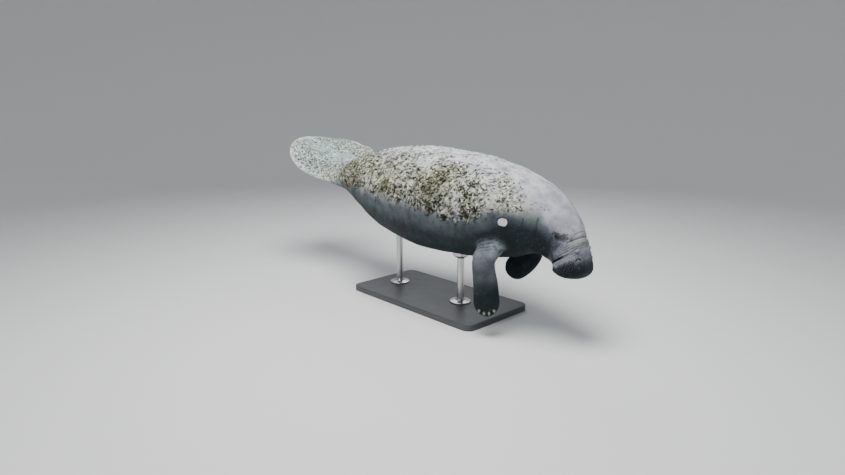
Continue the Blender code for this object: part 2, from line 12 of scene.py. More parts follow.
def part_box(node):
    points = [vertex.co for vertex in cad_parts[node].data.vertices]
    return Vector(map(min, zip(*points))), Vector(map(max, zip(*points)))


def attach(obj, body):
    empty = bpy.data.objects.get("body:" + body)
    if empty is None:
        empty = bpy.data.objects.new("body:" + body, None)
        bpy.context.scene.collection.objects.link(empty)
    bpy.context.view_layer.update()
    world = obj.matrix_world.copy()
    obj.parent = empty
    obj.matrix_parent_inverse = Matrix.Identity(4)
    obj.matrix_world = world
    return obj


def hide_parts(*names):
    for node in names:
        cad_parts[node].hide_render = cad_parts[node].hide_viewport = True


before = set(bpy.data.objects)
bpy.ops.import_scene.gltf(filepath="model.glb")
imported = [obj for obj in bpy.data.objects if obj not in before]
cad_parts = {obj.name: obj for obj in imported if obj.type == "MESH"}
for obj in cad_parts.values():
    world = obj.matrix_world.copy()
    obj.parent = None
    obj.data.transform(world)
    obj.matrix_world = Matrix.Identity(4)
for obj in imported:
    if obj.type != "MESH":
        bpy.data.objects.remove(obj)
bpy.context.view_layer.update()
print("frame loaded:", len(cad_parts), "nodes")

# The spine and the girth of the body, as the frame's own solids have them
spine = {
    "length": 3.00,
    "overOrigin": 1.30,      # place back from the muzzle that stands over the origin
    "height": 0.76,
    "step": 0.005,
    "pitch": [(0, 78), (0.25, 40), (0.60, 2.5), (1.30, 3.4), (1.95, 4.6), (2.35, 14), (3.0, 32)],
    "yaw": [(0, -0.4), (0.35, -0.4), (0.90, 0), (1.50, 0), (2.05, -6), (2.45, 3), (3.0, 3.5)],
    "roll": [(0, 0), (1.80, 0), (2.12, 14), (2.42, 22), (3.0, 0)],
}
girth = {
    "muzzleCap": 0.075,
    "muzzleRoundness": 2.6,
    "paddleCapFrom": 2.70,
    "paddleRoundness": 2.3,
    "marginLift": (0.070, 2.36, 0.18),     # height, place and length of the flexed left margin
    "notch": (0.016, 2.915, 0.022),        # depth, place and length of the nick in it
    "rings": [                             # place, half width, above, below, squareness
        (0.075, 0.098, 0.080, 0.117, 2.5),
        (0.15, 0.106, 0.101, 0.120, 2.4),
        (0.24, 0.142, 0.137, 0.142, 2.2),
        (0.36, 0.198, 0.187, 0.192, 2.1),
        (0.48, 0.243, 0.238, 0.238, 2.1),
        (0.68, 0.303, 0.297, 0.292, 2.1),
        (0.95, 0.352, 0.331, 0.336, 2.1),
        (1.30, 0.373, 0.341, 0.362, 2.1),
        (1.65, 0.340, 0.305, 0.319, 2.1),
        (1.95, 0.252, 0.232, 0.237, 2.1),
        (2.20, 0.212, 0.150, 0.135, 1.9),
        (2.38, 0.248, 0.080, 0.085, 1.6),
        (2.54, 0.288, 0.055, 0.055, 1.5),
        (2.70, 0.315, 0.035, 0.035, 1.5),
        (3.0, 0.306, 0.020, 0.020, 1.5),
    ],
}
face = {                     # places are distances back from the muzzle and degrees from the top
    "eye": (0.239, 64),
    "eyeRadius": 0.012,
    "nostril": (0.099, 40),
    "nostrilHalfLength": 0.013,
    "mouthMiddle": (0.050, 180),
    "mouthCorner": (0.112, 122),
    "crease": 0.137,
    "creaseRise": 0.009,
    "lipSpan": 0.11,
}
mainFolds = [    # height, place and width, then degrees from the top: first, last, fade or middle, reach
    (0.015, 0.088, 0.034, 84, 140, 32),                     # lip pads
    (0.010, 0.205, 0.040, 62, 125, 26),                     # cheeks
    (0.003, face["nostril"][0], 0.026, face["nostril"][1], 17),
    (0.005, 0.162, 0.014, 0, 48, 20),                       # snout roll
    (0.008, 0.105, 0.028, 158, 180, 14),                    # lower lip
    (0.006, 0.250, 0.030, face["eye"][1] - 24, 16),         # brow
    (0.016, 0.640, 0.090, 112, 26),                         # shoulders
    (-0.005, 0.186, 0.0075, 0, 42, 14),                     # snout crease
    (-0.005, 0.243, 0.020, face["eye"][1], 11),             # eye hollow
    (-0.008, 0.325, 0.018, 142, 180, 34),                   # throat folds
    (-0.008, 0.400, 0.018, 142, 180, 34),
    (-0.008, 0.465, 0.018, 142, 180, 34),
]
flippers = {
    "right": {
        "line": [(0.655, -0.115, -0.090), (0.700, -0.220, -0.188), (0.673, -0.273, -0.297),
                 (0.699, -0.277, -0.440), (0.723, -0.289, -0.622)],
        "across": [(1.00, 0.15, -0.20), (0.80, 0.60, 0.00)],
        "nailFace": 1,
    },
    "left": {
        "line": [(0.660, 0.130, -0.110), (0.675, 0.235, -0.235), (0.675, 0.210, -0.330),
                 (0.680, 0.110, -0.380), (0.655, -0.030, -0.400)],
        "across": [(1.00, 0.00, -0.10), (0.55, 0.00, -0.83)],
        "nailFace": -1,
    },
    "width": [(0, 0.178), (0.25, 0.158), (0.45, 0.140), (0.70, 0.150), (0.88, 0.158), (1, 0.150)],
    "thickness": [(0, 0.120), (0.25, 0.098), (0.45, 0.074), (0.70, 0.050), (1, 0.030)],
    "tip": 0.16,             # share of the length in the rounded tip
    "rows": 66,
    "columns": 40,
    "nailAreas": (0.024, 0.019),    # refined twice round each nail
}


def hill(x, centre, width):
    return np.exp(-((x - centre) / width) ** 2)


def smoothRise(x, start, end):
    t = np.clip((x - start) / (end - start), 0, 1)
    return t * t * (3 - 2 * t)


def plateau(x, low, high, fade):
    return smoothRise(x, low - fade, low) * (1 - smoothRise(x, high, high + fade))


def unit(vectors):
    return vectors / np.maximum(np.linalg.norm(vectors, axis=-1, keepdims=True), 1e-12)


def squareTo(normals, vectors):
    # Directions turned square to the normals
    return unit(vectors - normals * np.sum(vectors * normals, axis=-1, keepdims=True))


def gapFrom(points, spot):
    return np.linalg.norm(points - np.array(spot), axis=1)


def endSlope(nearStep, farStep, nearRise, farRise):
    slope = ((2 * nearStep + farStep) * nearRise - nearStep * farRise) / (nearStep + farStep)
    if slope * nearRise <= 0:
        return 0.0
    if nearRise * farRise <= 0 and abs(slope) > 3 * abs(nearRise):
        return 3 * nearRise
    return slope


def smoothThrough(knots, places):
    # A smooth curve through (place, value) knots that doesn't overshoot between them
    at, value = np.array(knots, float).T
    step = np.diff(at)
    rise = np.diff(value) / step
    slope = np.zeros(len(at))
    for i in range(1, len(at) - 1):
        if rise[i - 1] * rise[i] > 0:
            before = 2 * step[i] + step[i - 1]
            after = step[i] + 2 * step[i - 1]
            slope[i] = (before + after) / (before / rise[i - 1] + after / rise[i])
    slope[0] = endSlope(step[0], step[1], rise[0], rise[1])
    slope[-1] = endSlope(step[-1], step[-2], rise[-1], rise[-2])
    places = np.clip(np.asarray(places, float), at[0], at[-1])
    k = np.clip(np.searchsorted(at, places, side="right") - 1, 0, len(step) - 1)
    t = (places - at[k]) / step[k]
    return ((1 + 2 * t) * (1 - t) ** 2 * value[k] + t * (1 - t) ** 2 * step[k] * slope[k]
            + t * t * (3 - 2 * t) * value[k + 1] + t * t * (t - 1) * step[k] * slope[k + 1])


def tailDirection(places):
    pitch = np.radians(smoothThrough(spine["pitch"], places))
    yaw = np.radians(smoothThrough(spine["yaw"], places))
    return np.stack([-np.cos(pitch) * np.cos(yaw), -np.cos(pitch) * np.sin(yaw), np.sin(pitch)], -1)


def walkSpine():
    places = np.arange(0, spine["length"] + spine["step"] / 2, spine["step"])
    heading = tailDirection(places)
    points = np.vstack([np.zeros(3), np.cumsum((heading[1:] + heading[:-1]) / 2 * spine["step"], axis=0)])
    middle = [np.interp(spine["overOrigin"], places, points[:, axis]) for axis in range(3)]
    return places, points - np.array(middle) + np.array([0, 0, spine["height"]])


spinePlaces, spinePoints = walkSpine()


def spineFrame(places):
    # Middle, direction to the tail, direction to the animal's left and its up
    centre = np.stack([np.interp(places, spinePlaces, spinePoints[:, axis]) for axis in range(3)], -1)
    back = tailDirection(places)
    left = unit(np.cross(np.array([0.0, 0.0, 1.0]), -back))
    up = np.cross(-back, left)
    roll = np.radians(smoothThrough(spine["roll"], places))[..., None]
    return centre, back, left * np.cos(roll) + up * np.sin(roll), up * np.cos(roll) - left * np.sin(roll)


def capScale(places):
    nose = np.clip(places / girth["muzzleCap"], 0, 1)
    nose = (1 - (1 - nose) ** girth["muzzleRoundness"]) ** (1 / girth["muzzleRoundness"])
    tail = (places - girth["paddleCapFrom"]) / (spine["length"] - girth["paddleCapFrom"])
    return nose * (1 - np.clip(tail, 0, 1) ** girth["paddleRoundness"]) ** (1 / girth["paddleRoundness"])


def ringSizes(places):
    fat = np.maximum(places, girth["muzzleCap"])
    return [smoothThrough([(row[0], row[column]) for row in girth["rings"]], fat) for column in range(1, 5)]


def plainSkin(places, turns):
    # Points of the smooth body; a turn of 0 is the left side and of 90 degrees the top
    places, turns = np.broadcast_arrays(np.asarray(places, float), np.asarray(turns, float))
    centre, _, left, up = spineFrame(places)
    width, above, below, square = ringSizes(places)
    cap = capScale(places)
    across = np.cos(turns)
    upright = np.sin(turns)
    sideways = np.sign(across) * np.abs(across) ** (2 / square) * width * cap
    height = np.where(upright > 0, above, below) * cap
    upwards = np.sign(upright) * np.abs(upright) ** (2 / square) * height
    margin = np.clip(across, 0, 1) ** 2
    lift = girth["marginLift"][0] * hill(places, *girth["marginLift"][1:]) * margin
    notch = girth["notch"][0] * hill(places, *girth["notch"][1:]) * margin ** 2
    return centre + left * (sideways - notch)[..., None] + up * (upwards + lift)[..., None]


def fromTopOf(turns):
    degrees = np.degrees(turns) % 360
    return np.abs(90 - np.where(degrees > 270, degrees - 360, degrees))


def mainRelief(places, turns):
    # Height of the main folds and swellings over the smooth body
    fromTop = fromTopOf(turns)
    height = np.zeros(np.shape(fromTop))
    for size, place, width, *turn in mainFolds:
        shape = plateau(fromTop, *turn) if len(turn) == 3 else hill(fromTop, *turn)
        height = height + size * hill(places, place, width) * shape
    crease = face["crease"] + face["creaseRise"] * smoothRise(fromTop, 60, 120)
    height -= 0.018 * hill(places, crease, 0.0072) * plateau(fromTop, 50, 126, 18)
    lipSideways = np.sin(np.radians(fromTop)) * face["lipSpan"] * capScale(places)
    lipUpright = np.cos(np.radians(fromTop)) * face["lipSpan"] * capScale(places)
    cleft = hill(lipSideways, 0, 0.013) * (1 - smoothRise(lipUpright, 0, 0.05))
    return height - 0.008 * cleft * (1 - smoothRise(places, 0.035, 0.060))


def skinPoints(places, turns):
    places, turns = np.broadcast_arrays(np.asarray(places, float), np.asarray(turns, float))
    point = plainSkin(places, turns)
    reach = 0.002
    along = plainSkin(places + reach, turns) - plainSkin(np.maximum(places - reach, 0), turns)
    roundRing = plainSkin(places, turns + reach) - plainSkin(places, turns - reach)
    facing = np.cross(along, roundRing)
    back = spineFrame(places)[1]
    blend = smoothRise(places, 0.12, 0.20)[..., None]
    facing = unit(unit(facing) * (1 - blend) + squareTo(back, facing) * blend)
    outwards = np.sign(np.sum(facing * (point - spineFrame(places + 0.02)[0]), axis=-1, keepdims=True))
    return point + facing * outwards * mainRelief(places, turns)[..., None]


def bodyPlaces(points):
    # How far back along the spine points lie, and their turn round it
    coarse = np.arange(0, spine["length"] + 0.01, 0.05)
    centres = spineFrame(coarse)[0]
    along = coarse[np.argmin(((points[:, None] - centres[None]) ** 2).sum(-1), axis=1)]
    for _ in range(14):
        centre, back, left, up = spineFrame(along)
        along = np.clip(along + 0.8 * ((points - centre) * back).sum(-1), 0, spine["length"])
    centre, back, left, up = spineFrame(along)
    width, above, below, square = ringSizes(along)
    sideways = ((points - centre) * left).sum(-1) / width
    upwards = ((points - centre) * up).sum(-1)
    upwards = upwards / np.where(upwards > 0, above, below)
    turn = np.arctan2(np.sign(upwards) * np.abs(upwards) ** (square / 2),
                      np.sign(sideways) * np.abs(sideways) ** (square / 2))
    return along, turn


def surfaceAxes(place, fromTop, side):
    # A place on the head with its normal, its direction to the muzzle and one across
    turn = math.radians(90 - side * fromTop)
    reach = 0.003
    point = skinPoints(place, turn)
    along = skinPoints(place + reach, turn) - skinPoints(place - reach, turn)
    roundRing = skinPoints(place, turn + reach) - skinPoints(place, turn - reach)
    normal = unit(np.cross(along, roundRing))
    normal = normal * np.sign(np.dot(normal, point - spineFrame(np.array(place))[0]))
    forward = squareTo(normal, skinPoints(place - 0.004, turn) - point)
    return point, normal, forward, np.cross(normal, forward)


def bothSides(what):
    return [surfaceAxes(*face[what], side)[0] for side in (1, -1)]


# Mesh helpers
def pickOnly(piece):
    bpy.ops.object.select_all(action="DESELECT")
    piece.select_set(True)
    bpy.context.view_layer.objects.active = piece


def editOnly(piece, part, mask):
    # Edit mode with only these points ("vertices") or faces ("polygons") selected
    pickOnly(piece)
    for name in ("vertices", "edges", "polygons"):
        parts = getattr(piece.data, name)
        parts.foreach_set("select", np.asarray(mask, bool) if name == part else np.zeros(len(parts), bool))
    bpy.context.tool_settings.mesh_select_mode = (part == "vertices", False, part == "polygons")
    bpy.ops.object.mode_set(mode="EDIT")


def leaveEdit():
    bpy.ops.object.mode_set(mode="OBJECT")


def applyAll(piece):
    pickOnly(piece)
    for modifier in list(piece.modifiers):
        bpy.ops.object.modifier_apply(modifier=modifier.name)


def settle(piece):
    # The piece's place goes into its mesh
    pickOnly(piece)
    bpy.ops.object.transform_apply(location=True, rotation=True, scale=True)


def readAll(parts, name, width=1, kind=float):
    values = np.zeros(len(parts) * width, kind)
    parts.foreach_get(name, values)
    return values.reshape(-1, width) if width > 1 else values


def pointsOf(mesh):
    return readAll(mesh.vertices, "co", 3)


def normalsOf(mesh):
    return readAll(mesh.vertex_normals, "vector", 3)


def setPoints(mesh, points):
    mesh.vertices.foreach_set("co", np.asarray(points, np.float32).ravel())
    mesh.update()


def readValues(mesh, name):
    return readAll(mesh.attributes[name].data, "value")


def placesOf(mesh):
    # How far back each point lies, and its turn round the body
    return readValues(mesh, "along"), readValues(mesh, "turn")


def writeValues(mesh, name, values):
    attribute = mesh.attributes.get(name) or mesh.attributes.new(name, "FLOAT", "POINT")
    attribute.data.foreach_set("value", np.asarray(values, np.float32))


def faceMiddles(mesh, values):
    # The mean of a point value over each face
    corners = readAll(mesh.loops, "vertex_index", 1, int)
    start = readAll(mesh.polygons, "loop_start", 1, int)
    return np.add.reduceat(values[corners], start) / readAll(mesh.polygons, "loop_total", 1, int)


def relaxed(mesh, values, weights, rounds):
    # Values or points evened out with their neighbours, as far as the weights say
    ends = readAll(mesh.edges, "vertices", 2, int)
    count = np.bincount(ends.ravel(), minlength=len(mesh.vertices)).clip(1)
    values = np.array(values, float)
    columns = values.reshape(len(values), -1)
    weights = np.broadcast_to(weights, len(values))
    for _ in range(rounds):
        for k in range(columns.shape[1]):
            total = np.bincount(ends[:, 0], columns[ends[:, 1], k], minlength=len(columns))
            total += np.bincount(ends[:, 1], columns[ends[:, 0], k], minlength=len(columns))
            columns[:, k] += weights * (total / count - columns[:, k])
    return columns.reshape(values.shape)


def roughness(points, size, seed=0.0, octaves=3):
    # Smooth noise from about -1 to 1 at each point
    shift = Vector((seed, seed * 1.7, -seed))
    return np.array([noise.fractal(Vector(point) / size + shift, 1.0, 2.0, octaves) for point in points])


def added(add, name, **settings):
    # A new object, the only one that is picked
    bpy.ops.object.select_all(action="DESELECT")
    add(**settings)
    bpy.context.object.name = name
    return bpy.context.object


def gridSkin(name, columns, rows):
    piece = added(bpy.ops.mesh.primitive_grid_add, name, x_subdivisions=columns, y_subdivisions=rows,
                  size=2, calc_uvs=False)
    flat = pointsOf(piece.data)
    column = np.rint((flat[:, 0] + 1) / 2 * columns).astype(int)
    row = np.rint((flat[:, 1] + 1) / 2 * rows).astype(int)
    return piece, row, column


def closeGrid(piece):
    # Sews the long seam of a rolled grid and closes both ends with a fan
    mesh = piece.data
    editOnly(piece, "vertices", np.ones(len(mesh.vertices), bool))
    bpy.ops.mesh.remove_doubles(threshold=0.000001)
    bpy.ops.mesh.select_all(action="DESELECT")
    bpy.ops.mesh.select_non_manifold(extend=False, use_multi_face=False, use_non_contiguous=False,
                                     use_verts=False)
    bpy.ops.mesh.edge_face_add()
    bpy.ops.mesh.poke()
    bpy.ops.mesh.select_all(action="SELECT")
    bpy.ops.mesh.normals_make_consistent(inside=False)
    leaveEdit()


# The skin
skinSizes = {
    "columns": 156,
    "spacing": [(0, 0.0046), (0.29, 0.0046), (0.56, 0.0125), (2.30, 0.0125), (2.70, 0.0105), (3.0, 0.0090)],
    "sideDensity": 0.6,       # how much closer the columns stand on the sides
    "faceArea": (0.020, 0.278, 26, 148),    # refined once: places and degrees from the top
    "eyeArea": 0.024,         # refined again round the eyes and nostrils
    "nostrilArea": 0.021,
}


def spacedPlaces():
    # Places of the rings, so far apart along the skin as the spacing asks
    turn = np.linspace(0, math.pi / 2, 600)
    nose = girth["muzzleCap"] * (1 - np.cos(turn) ** (2 / girth["muzzleRoundness"]))
    reach = spine["length"] - girth["paddleCapFrom"]
    tip = girth["paddleCapFrom"] + reach * np.sin(turn) ** (2 / girth["paddleRoundness"])
    places = np.concatenate([nose, np.arange(girth["muzzleCap"] + 0.002, girth["paddleCapFrom"], 0.002), tip])
    steps = [np.linalg.norm(np.diff(plainSkin(places, way), axis=0), axis=1) for way in (0, math.pi / 2)]
    middle = (places[1:] + places[:-1]) / 2
    count = np.concatenate([[0], np.cumsum(np.maximum(*steps) / smoothThrough(skinSizes["spacing"], middle))])
    rings = int(count[-1])
    return np.interp(np.linspace(0.5, count[-1] - 0.4, rings), count, places)


def spacedTurns():
    turn = np.linspace(-math.pi / 2, math.pi * 1.5, 4000)
    density = 1 + skinSizes["sideDensity"] * plateau(fromTopOf(turn), 35, 128, 25)
    count = np.concatenate([[0], np.cumsum((density[1:] + density[:-1]) / 2)])
    return np.interp(np.linspace(0, count[-1], skinSizes["columns"] + 1), count, turn)


def rollBody():
    # A grid rolled into the body
    places = spacedPlaces()
    turns = spacedTurns()
    body, row, column = gridSkin("manatee_skin", len(turns) - 1, len(places) - 1)
    mesh = body.data
    writeValues(mesh, "along", places[row])
    writeValues(mesh, "turn", turns[column])
    setPoints(mesh, skinPoints(places[row], np.where(column == len(turns) - 1, turns[0], turns[column])))
    closeGrid(body)
    print("  rings", len(places), "faces", len(mesh.polygons))
    return body


def refineFace(body):
    # Smaller faces on the head, smaller still at the eyes and nostrils, all set on the skin again
    mesh = body.data
    along = faceMiddles(mesh, readValues(mesh, "along"))
    fromTop = fromTopOf(faceMiddles(mesh, readValues(mesh, "turn")))
    low, high, top, bottom = skinSizes["faceArea"]
    bare = faceMiddles(mesh, readValues(mesh, "flipper")) == 0
    refine(body, bare & (along > low) & (along < high) & (fromTop > top) & (fromTop < bottom))
    near = np.zeros(len(mesh.vertices))
    for what in ("eye", "nostril"):
        for point in bothSides(what):
            near = np.maximum(near, gapFrom(pointsOf(mesh), point) < skinSizes[what + "Area"])
    refine(body, faceMiddles(mesh, near) > 0.99)
    along, turn = placesOf(mesh)
    held = (along > 0.0045) & (along < 0.32)          # the pole keeps its own points
    held &= readValues(mesh, "flipper") == 0
    points = pointsOf(mesh)
    points[held] = skinPoints(along[held], turn[held])
    setPoints(mesh, points)


def refine(piece, faces):
    editOnly(piece, "polygons", faces)
    bpy.ops.mesh.subdivide(number_cuts=1, smoothness=0)
    leaveEdit()


def flipperFrame(side, share):
    # Middle, heading, direction across and direction through a flipper at a share of its length
    line = np.array(flippers[side]["line"]) + np.array([0, 0, spine["height"]])
    steps = np.linalg.norm(np.diff(line, axis=0), axis=1)
    shares = np.concatenate([[0], np.cumsum(steps)]) / steps.sum()
    knots = [list(zip(shares, line[:, axis])) for axis in range(3)]
    share = np.asarray(share, float)

    def middle(at):
        return np.stack([smoothThrough(knot, at) for knot in knots], -1)

    heading = unit(middle(np.minimum(share + 0.03, 1)) - middle(np.maximum(share - 0.03, 0)))
    root, tip = np.array(flippers[side]["across"], float)
    mix = smoothRise(share, 0.15, 0.75)[..., None]
    across = squareTo(heading, root * (1 - mix) + tip * mix)
    return middle(share), heading, across, np.cross(heading, across)


def flipperSection(share):
    tip = np.clip((share - 1 + flippers["tip"]) / flippers["tip"], 0, 1)
    rounding = (1 - tip ** 2.2) ** 0.5
    width = smoothThrough(flippers["width"], share) / 2 * rounding
    thickness = smoothThrough(flippers["thickness"], share) / 2 * rounding ** 0.5
    return width, thickness


def flipperRelief(share, turn):
    # Creases across the arm near the shoulder and finger swellings
    crease = np.sin(share * 330 + 1.5 * np.sin(turn * 2) + 2.0 * np.sin(share * 90))
    height = 0.0022 * crease * plateau(share, 0.20, 0.42, 0.10)
    finger = np.cos(np.cos(turn) * 9.0)
    height += 0.0012 * finger * plateau(share, 0.55, 0.93, 0.12)
    return height


def flipperPoints(side, share, turn):
    centre, _, across, through = flipperFrame(side, share)
    width, thickness = flipperSection(share)
    extra = flipperRelief(share, turn)
    rim = across * ((width + extra) * np.cos(turn))[..., None]
    return centre + rim + through * ((thickness + extra) * np.sin(turn))[..., None]


def nailMiddles(side):
    return [sum(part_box("nail_%s_%d" % (side, number)), Vector()) / 2 for number in range(1, 5)]


def rollFlipper(side):
    rows, columns = flippers["rows"], flippers["columns"]
    straight = int(rows * (1 - flippers["tip"]))
    tipTurn = np.linspace(0, math.pi / 2, rows - straight + 2)[1:-1]
    shares = np.concatenate([np.linspace(0, 1 - flippers["tip"], straight),
                             1 - flippers["tip"] * (1 - np.sin(tipTurn)), [0.9985]])
    flipper, row, column = gridSkin("limb_" + side, columns, len(shares) - 1)
    mesh = flipper.data
    turn = column * 2 * math.pi / columns
    writeValues(mesh, "share", shares[row])
    writeValues(mesh, "flipperTurn", turn)
    setPoints(mesh, flipperPoints(side, shares[row], np.where(column == columns, 0, turn)))
    closeGrid(flipper)
    for reach in flippers["nailAreas"]:
        gaps = [gapFrom(pointsOf(mesh), middle) for middle in nailMiddles(side)]
        refine(flipper, faceMiddles(mesh, 1.0 * (np.min(gaps, axis=0) < reach)) > 0.99)
    share, turn = readValues(mesh, "share"), readValues(mesh, "flipperTurn")
    points = pointsOf(mesh)
    held = (share > 0.80) & (share < 0.998) & (turn > 0.5) & (turn < 5.7)
    target = flipperPoints(side, share, turn)
    held &= np.linalg.norm(target - points, axis=1) < 0.004     # not where the turn passes its seam
    points[held] = target[held]
    setPoints(mesh, points)
    return flipper


def treeOf(mesh):
    points = [vertex.co.copy() for vertex in mesh.vertices]
    return BVHTree.FromPolygons(points, [tuple(polygon.vertices) for polygon in mesh.polygons])


def touches(tree, points, mask):
    # Which of the masked points lie on a surface
    found = np.zeros(len(points), bool)
    for k in np.flatnonzero(mask):
        gap = tree.find_nearest(Vector(points[k]), 0.01)[3]
        found[k] = gap is not None and gap < 0.00002
    return found


def gapTo(spots, points, mask):
    # Distance from each masked point to the nearest spot; the others count as far away
    tree = kdtree.KDTree(len(spots))
    for number, spot in enumerate(spots):
        tree.insert(Vector(spot), number)
    tree.balance()
    gap = np.full(len(points), 1.0)
    for k in np.flatnonzero(mask):
        gap[k] = tree.find(Vector(points[k]))[2]
    return gap


def joinFlippers(body):
    # The flippers grow out of the shoulders, with no seam
    trees = {"body": treeOf(body.data)}
    for side in ("right", "left"):
        flipper = rollFlipper(side)
        trees[side] = treeOf(flipper.data)
        union = body.modifiers.new("union", "BOOLEAN")
        union.operation = "UNION"
        union.solver = "EXACT"
        union.object = flipper
        applyAll(body)
        bpy.data.objects.remove(flipper, do_unlink=True)
    mesh = body.data
    points = pointsOf(mesh)
    region = (points[:, 0] > 0.45) & (points[:, 0] < 0.95) & (points[:, 2] < 0.80)
    onBody = touches(trees["body"], points, region)
    onFlipper = touches(trees["right"], points, region) | touches(trees["left"], points, region)
    along, turn = placesOf(mesh)
    stray = onFlipper | (along == 0)
    along[stray], turn[stray] = bodyPlaces(points[stray])
    gap = gapTo(points[onBody & onFlipper], points, region)
    for name, values in {"along": along, "turn": turn, "flipper": onFlipper & ~onBody, "gap": gap}.items():
        writeValues(mesh, name, values)
    editOnly(body, "vertices", gap < 0.012)
    bpy.ops.mesh.remove_doubles(threshold=0.0022)
    bpy.ops.mesh.select_mode(type="FACE")
    bpy.ops.mesh.select_face_by_sides(number=4, type="GREATER", extend=False)
    bpy.ops.mesh.quads_convert_to_tris(quad_method="BEAUTY", ngon_method="BEAUTY")
    leaveEdit()
    refineFace(body)


# What is sculpted into the skin once it is one piece
sculpture = {
    "filletReach": 0.050,    # how far from the seam the flippers' roots are eased
    "lidHeight": 0.0046,
    "socketDepth": 0.016,
    "nostrilDepth": 0.009,
    "underEyeFold": [(0.246, 74), (0.236, 84), (0.214, 94), (0.190, 103), (0.166, 113), (0.150, 122)],
    "eyeRings": [(0.0176, 0.0024), (0.0236, 0.0019), (0.0300, 0.0013), (0.0372, 0.0008)],    # reach, depth
    "cheekFolds": (0.0026, 0.0026, 0.4, [      # depth, width, unevenness and paths
        [(0.224, 80), (0.205, 92), (0.182, 102), (0.162, 110)],
        [(0.252, 82), (0.243, 94), (0.224, 106), (0.200, 116), (0.178, 126)],
        [(0.204, 78), (0.190, 88), (0.172, 97), (0.158, 103)],
    ]),
    "browFolds": (0.0013, 0.0042, 0.6, [
        [(0.262, 44), (0.250, 38), (0.232, 36), (0.214, 40)],
        [(0.272, 50), (0.262, 40), (0.240, 32), (0.212, 33)],
        [(0.224, 60), (0.212, 54), (0.198, 52)],
        [(0.228, 68), (0.212, 66), (0.198, 66)],
    ]),
    "creaseFolds": [         # height, place from the crease, waver, width, then degrees from the top
        (-0.0075, 0, 0.001, 0.0030, 60, 124, 24),
        (0.0110, 0, 0, 0.0070, 38, 80, 18),
        (0.0030, 0.0095, 0, 0.0042, 50, 118, 14),
    ],
    "noseFolds": [           # the same with the place from the muzzle
        (-0.0026, 0.187, 0.0012, 0.0026, 0, 38, 12),
        (-0.0020, 0.206, 0.0016, 0.0024, 0, 30, 12),
    ],
    "neckCreases": [[(0.350, 62), (0.340, 72), (0.330, 80), (0.318, 92)], [(0.408, 76), (0.402, 86)]],
    "scars": [[(0.990, 58), (0.962, 72), (0.928, 88)], [(0.62, 72), (0.66, 80), (0.70, 88)],
              [(0.86, 84), (0.80, 92), (0.73, 90)], [(0.60, 40), (0.585, 47)]],
    "lipPits": 70,           # bristle pits on each lip pad
    "seed": 7,
}


def pathDistance(along, fromTop, path, degree=0.0023):
    # Distance over the head's skin from a path of places
    spots = np.stack([along, fromTop * degree], -1)
    nearest = np.full(len(spots), 1.0)
    path = np.array(path) * (1, degree)
    for start, end in zip(path[:-1], path[1:]):
        run = end - start
        share = np.clip(((spots - start) @ run) / (run @ run), 0, 1)
        nearest = np.minimum(nearest, np.linalg.norm(spots - start - share[:, None] * run, axis=1))
    return nearest


def placedBy(points, what, side):
    # Places by an eye or a nostril: toward the muzzle, across, and how far off the skin
    point, normal, forward, across = surfaceAxes(*face[what], side)
    offset = points - point
    return offset @ forward, offset @ across, np.abs(offset @ normal)


def eyeHeight(points, side):
    # Lids, the socket and the broken wrinkles round an eye, with painted shade in the socket as the second
    # value
    x, y, off = placedBy(points, "eye", side)
    y, sideOn = y * side, off < 0.05
    angle = np.arctan2(y, x)
    radius = np.hypot(x / 1.14, y / 0.92)
    uneven = roughness(points, 0.013, 14.2, 2)
    wavy = radius * (1 + 0.06 * np.sin(3 * angle + 0.8)) + 0.0022 * uneven
    height = sculpture["lidHeight"] * hill(radius, 0.0122, 0.0026) * (1 - 0.25 * np.cos(2 * angle))
    for ring, (place, depth) in enumerate(sculpture["eyeRings"]):
        broken = np.clip(0.55 + 0.55 * np.sin(2 * angle + 1.9 * ring) + 0.5 * uneven, 0, 1.2)
        height -= depth * hill(wavy, place, 0.0015 + 0.0002 * ring) * broken
    spokes = hill(np.sin(5.5 * angle + 60 * wavy + 3 * uneven), 0, 0.28)
    height -= 0.0010 * spokes * hill(wavy, 0.026, 0.008)
    corner = np.hypot((x - 0.0165) / 1.6, y - 0.001)
    height -= 0.0022 * hill(corner, 0, 0.0028)
    socket = 1 - smoothRise(radius, 0.0066, 0.0094)
    height = height * (1 - socket) - sculpture["socketDepth"] * socket
    dark = hill(radius, 0.0085, 0.0045)
    return height * sideOn, np.clip(dark, 0, 1) * sideOn


def eyeShade(points, along, fromTop, side):
    # Painted shade over the wrinkled skin round and ahead of an eye, and along the edge of the cheek
    x, y, off = placedBy(points, "eye", side)
    y = y * side
    uneven = roughness(points, 0.011, 23.0, 3)
    close = np.hypot(x / 1.15, y)
    lean = math.radians(38)
    ahead = np.hypot((x * math.cos(lean) - y * math.sin(lean) - 0.034) / 1.9,
                     x * math.sin(lean) + y * math.cos(lean))
    share = 1 - smoothRise(close + 0.006 * uneven, 0.012, 0.031)
    share = np.maximum(share, 0.95 * (1 - smoothRise(ahead + 0.012 * uneven, 0.010, 0.036)))
    edge = pathDistance(along, fromTop, sculpture["underEyeFold"])
    share = np.maximum(share, 0.8 * (1 - smoothRise(edge + 0.010 * uneven, 0.003, 0.020)))
    share *= 1 - 0.75 * hill(close, 0.0165, 0.0035) * smoothRise(y, 0.002, 0.012)
    return share * (off < 0.10)


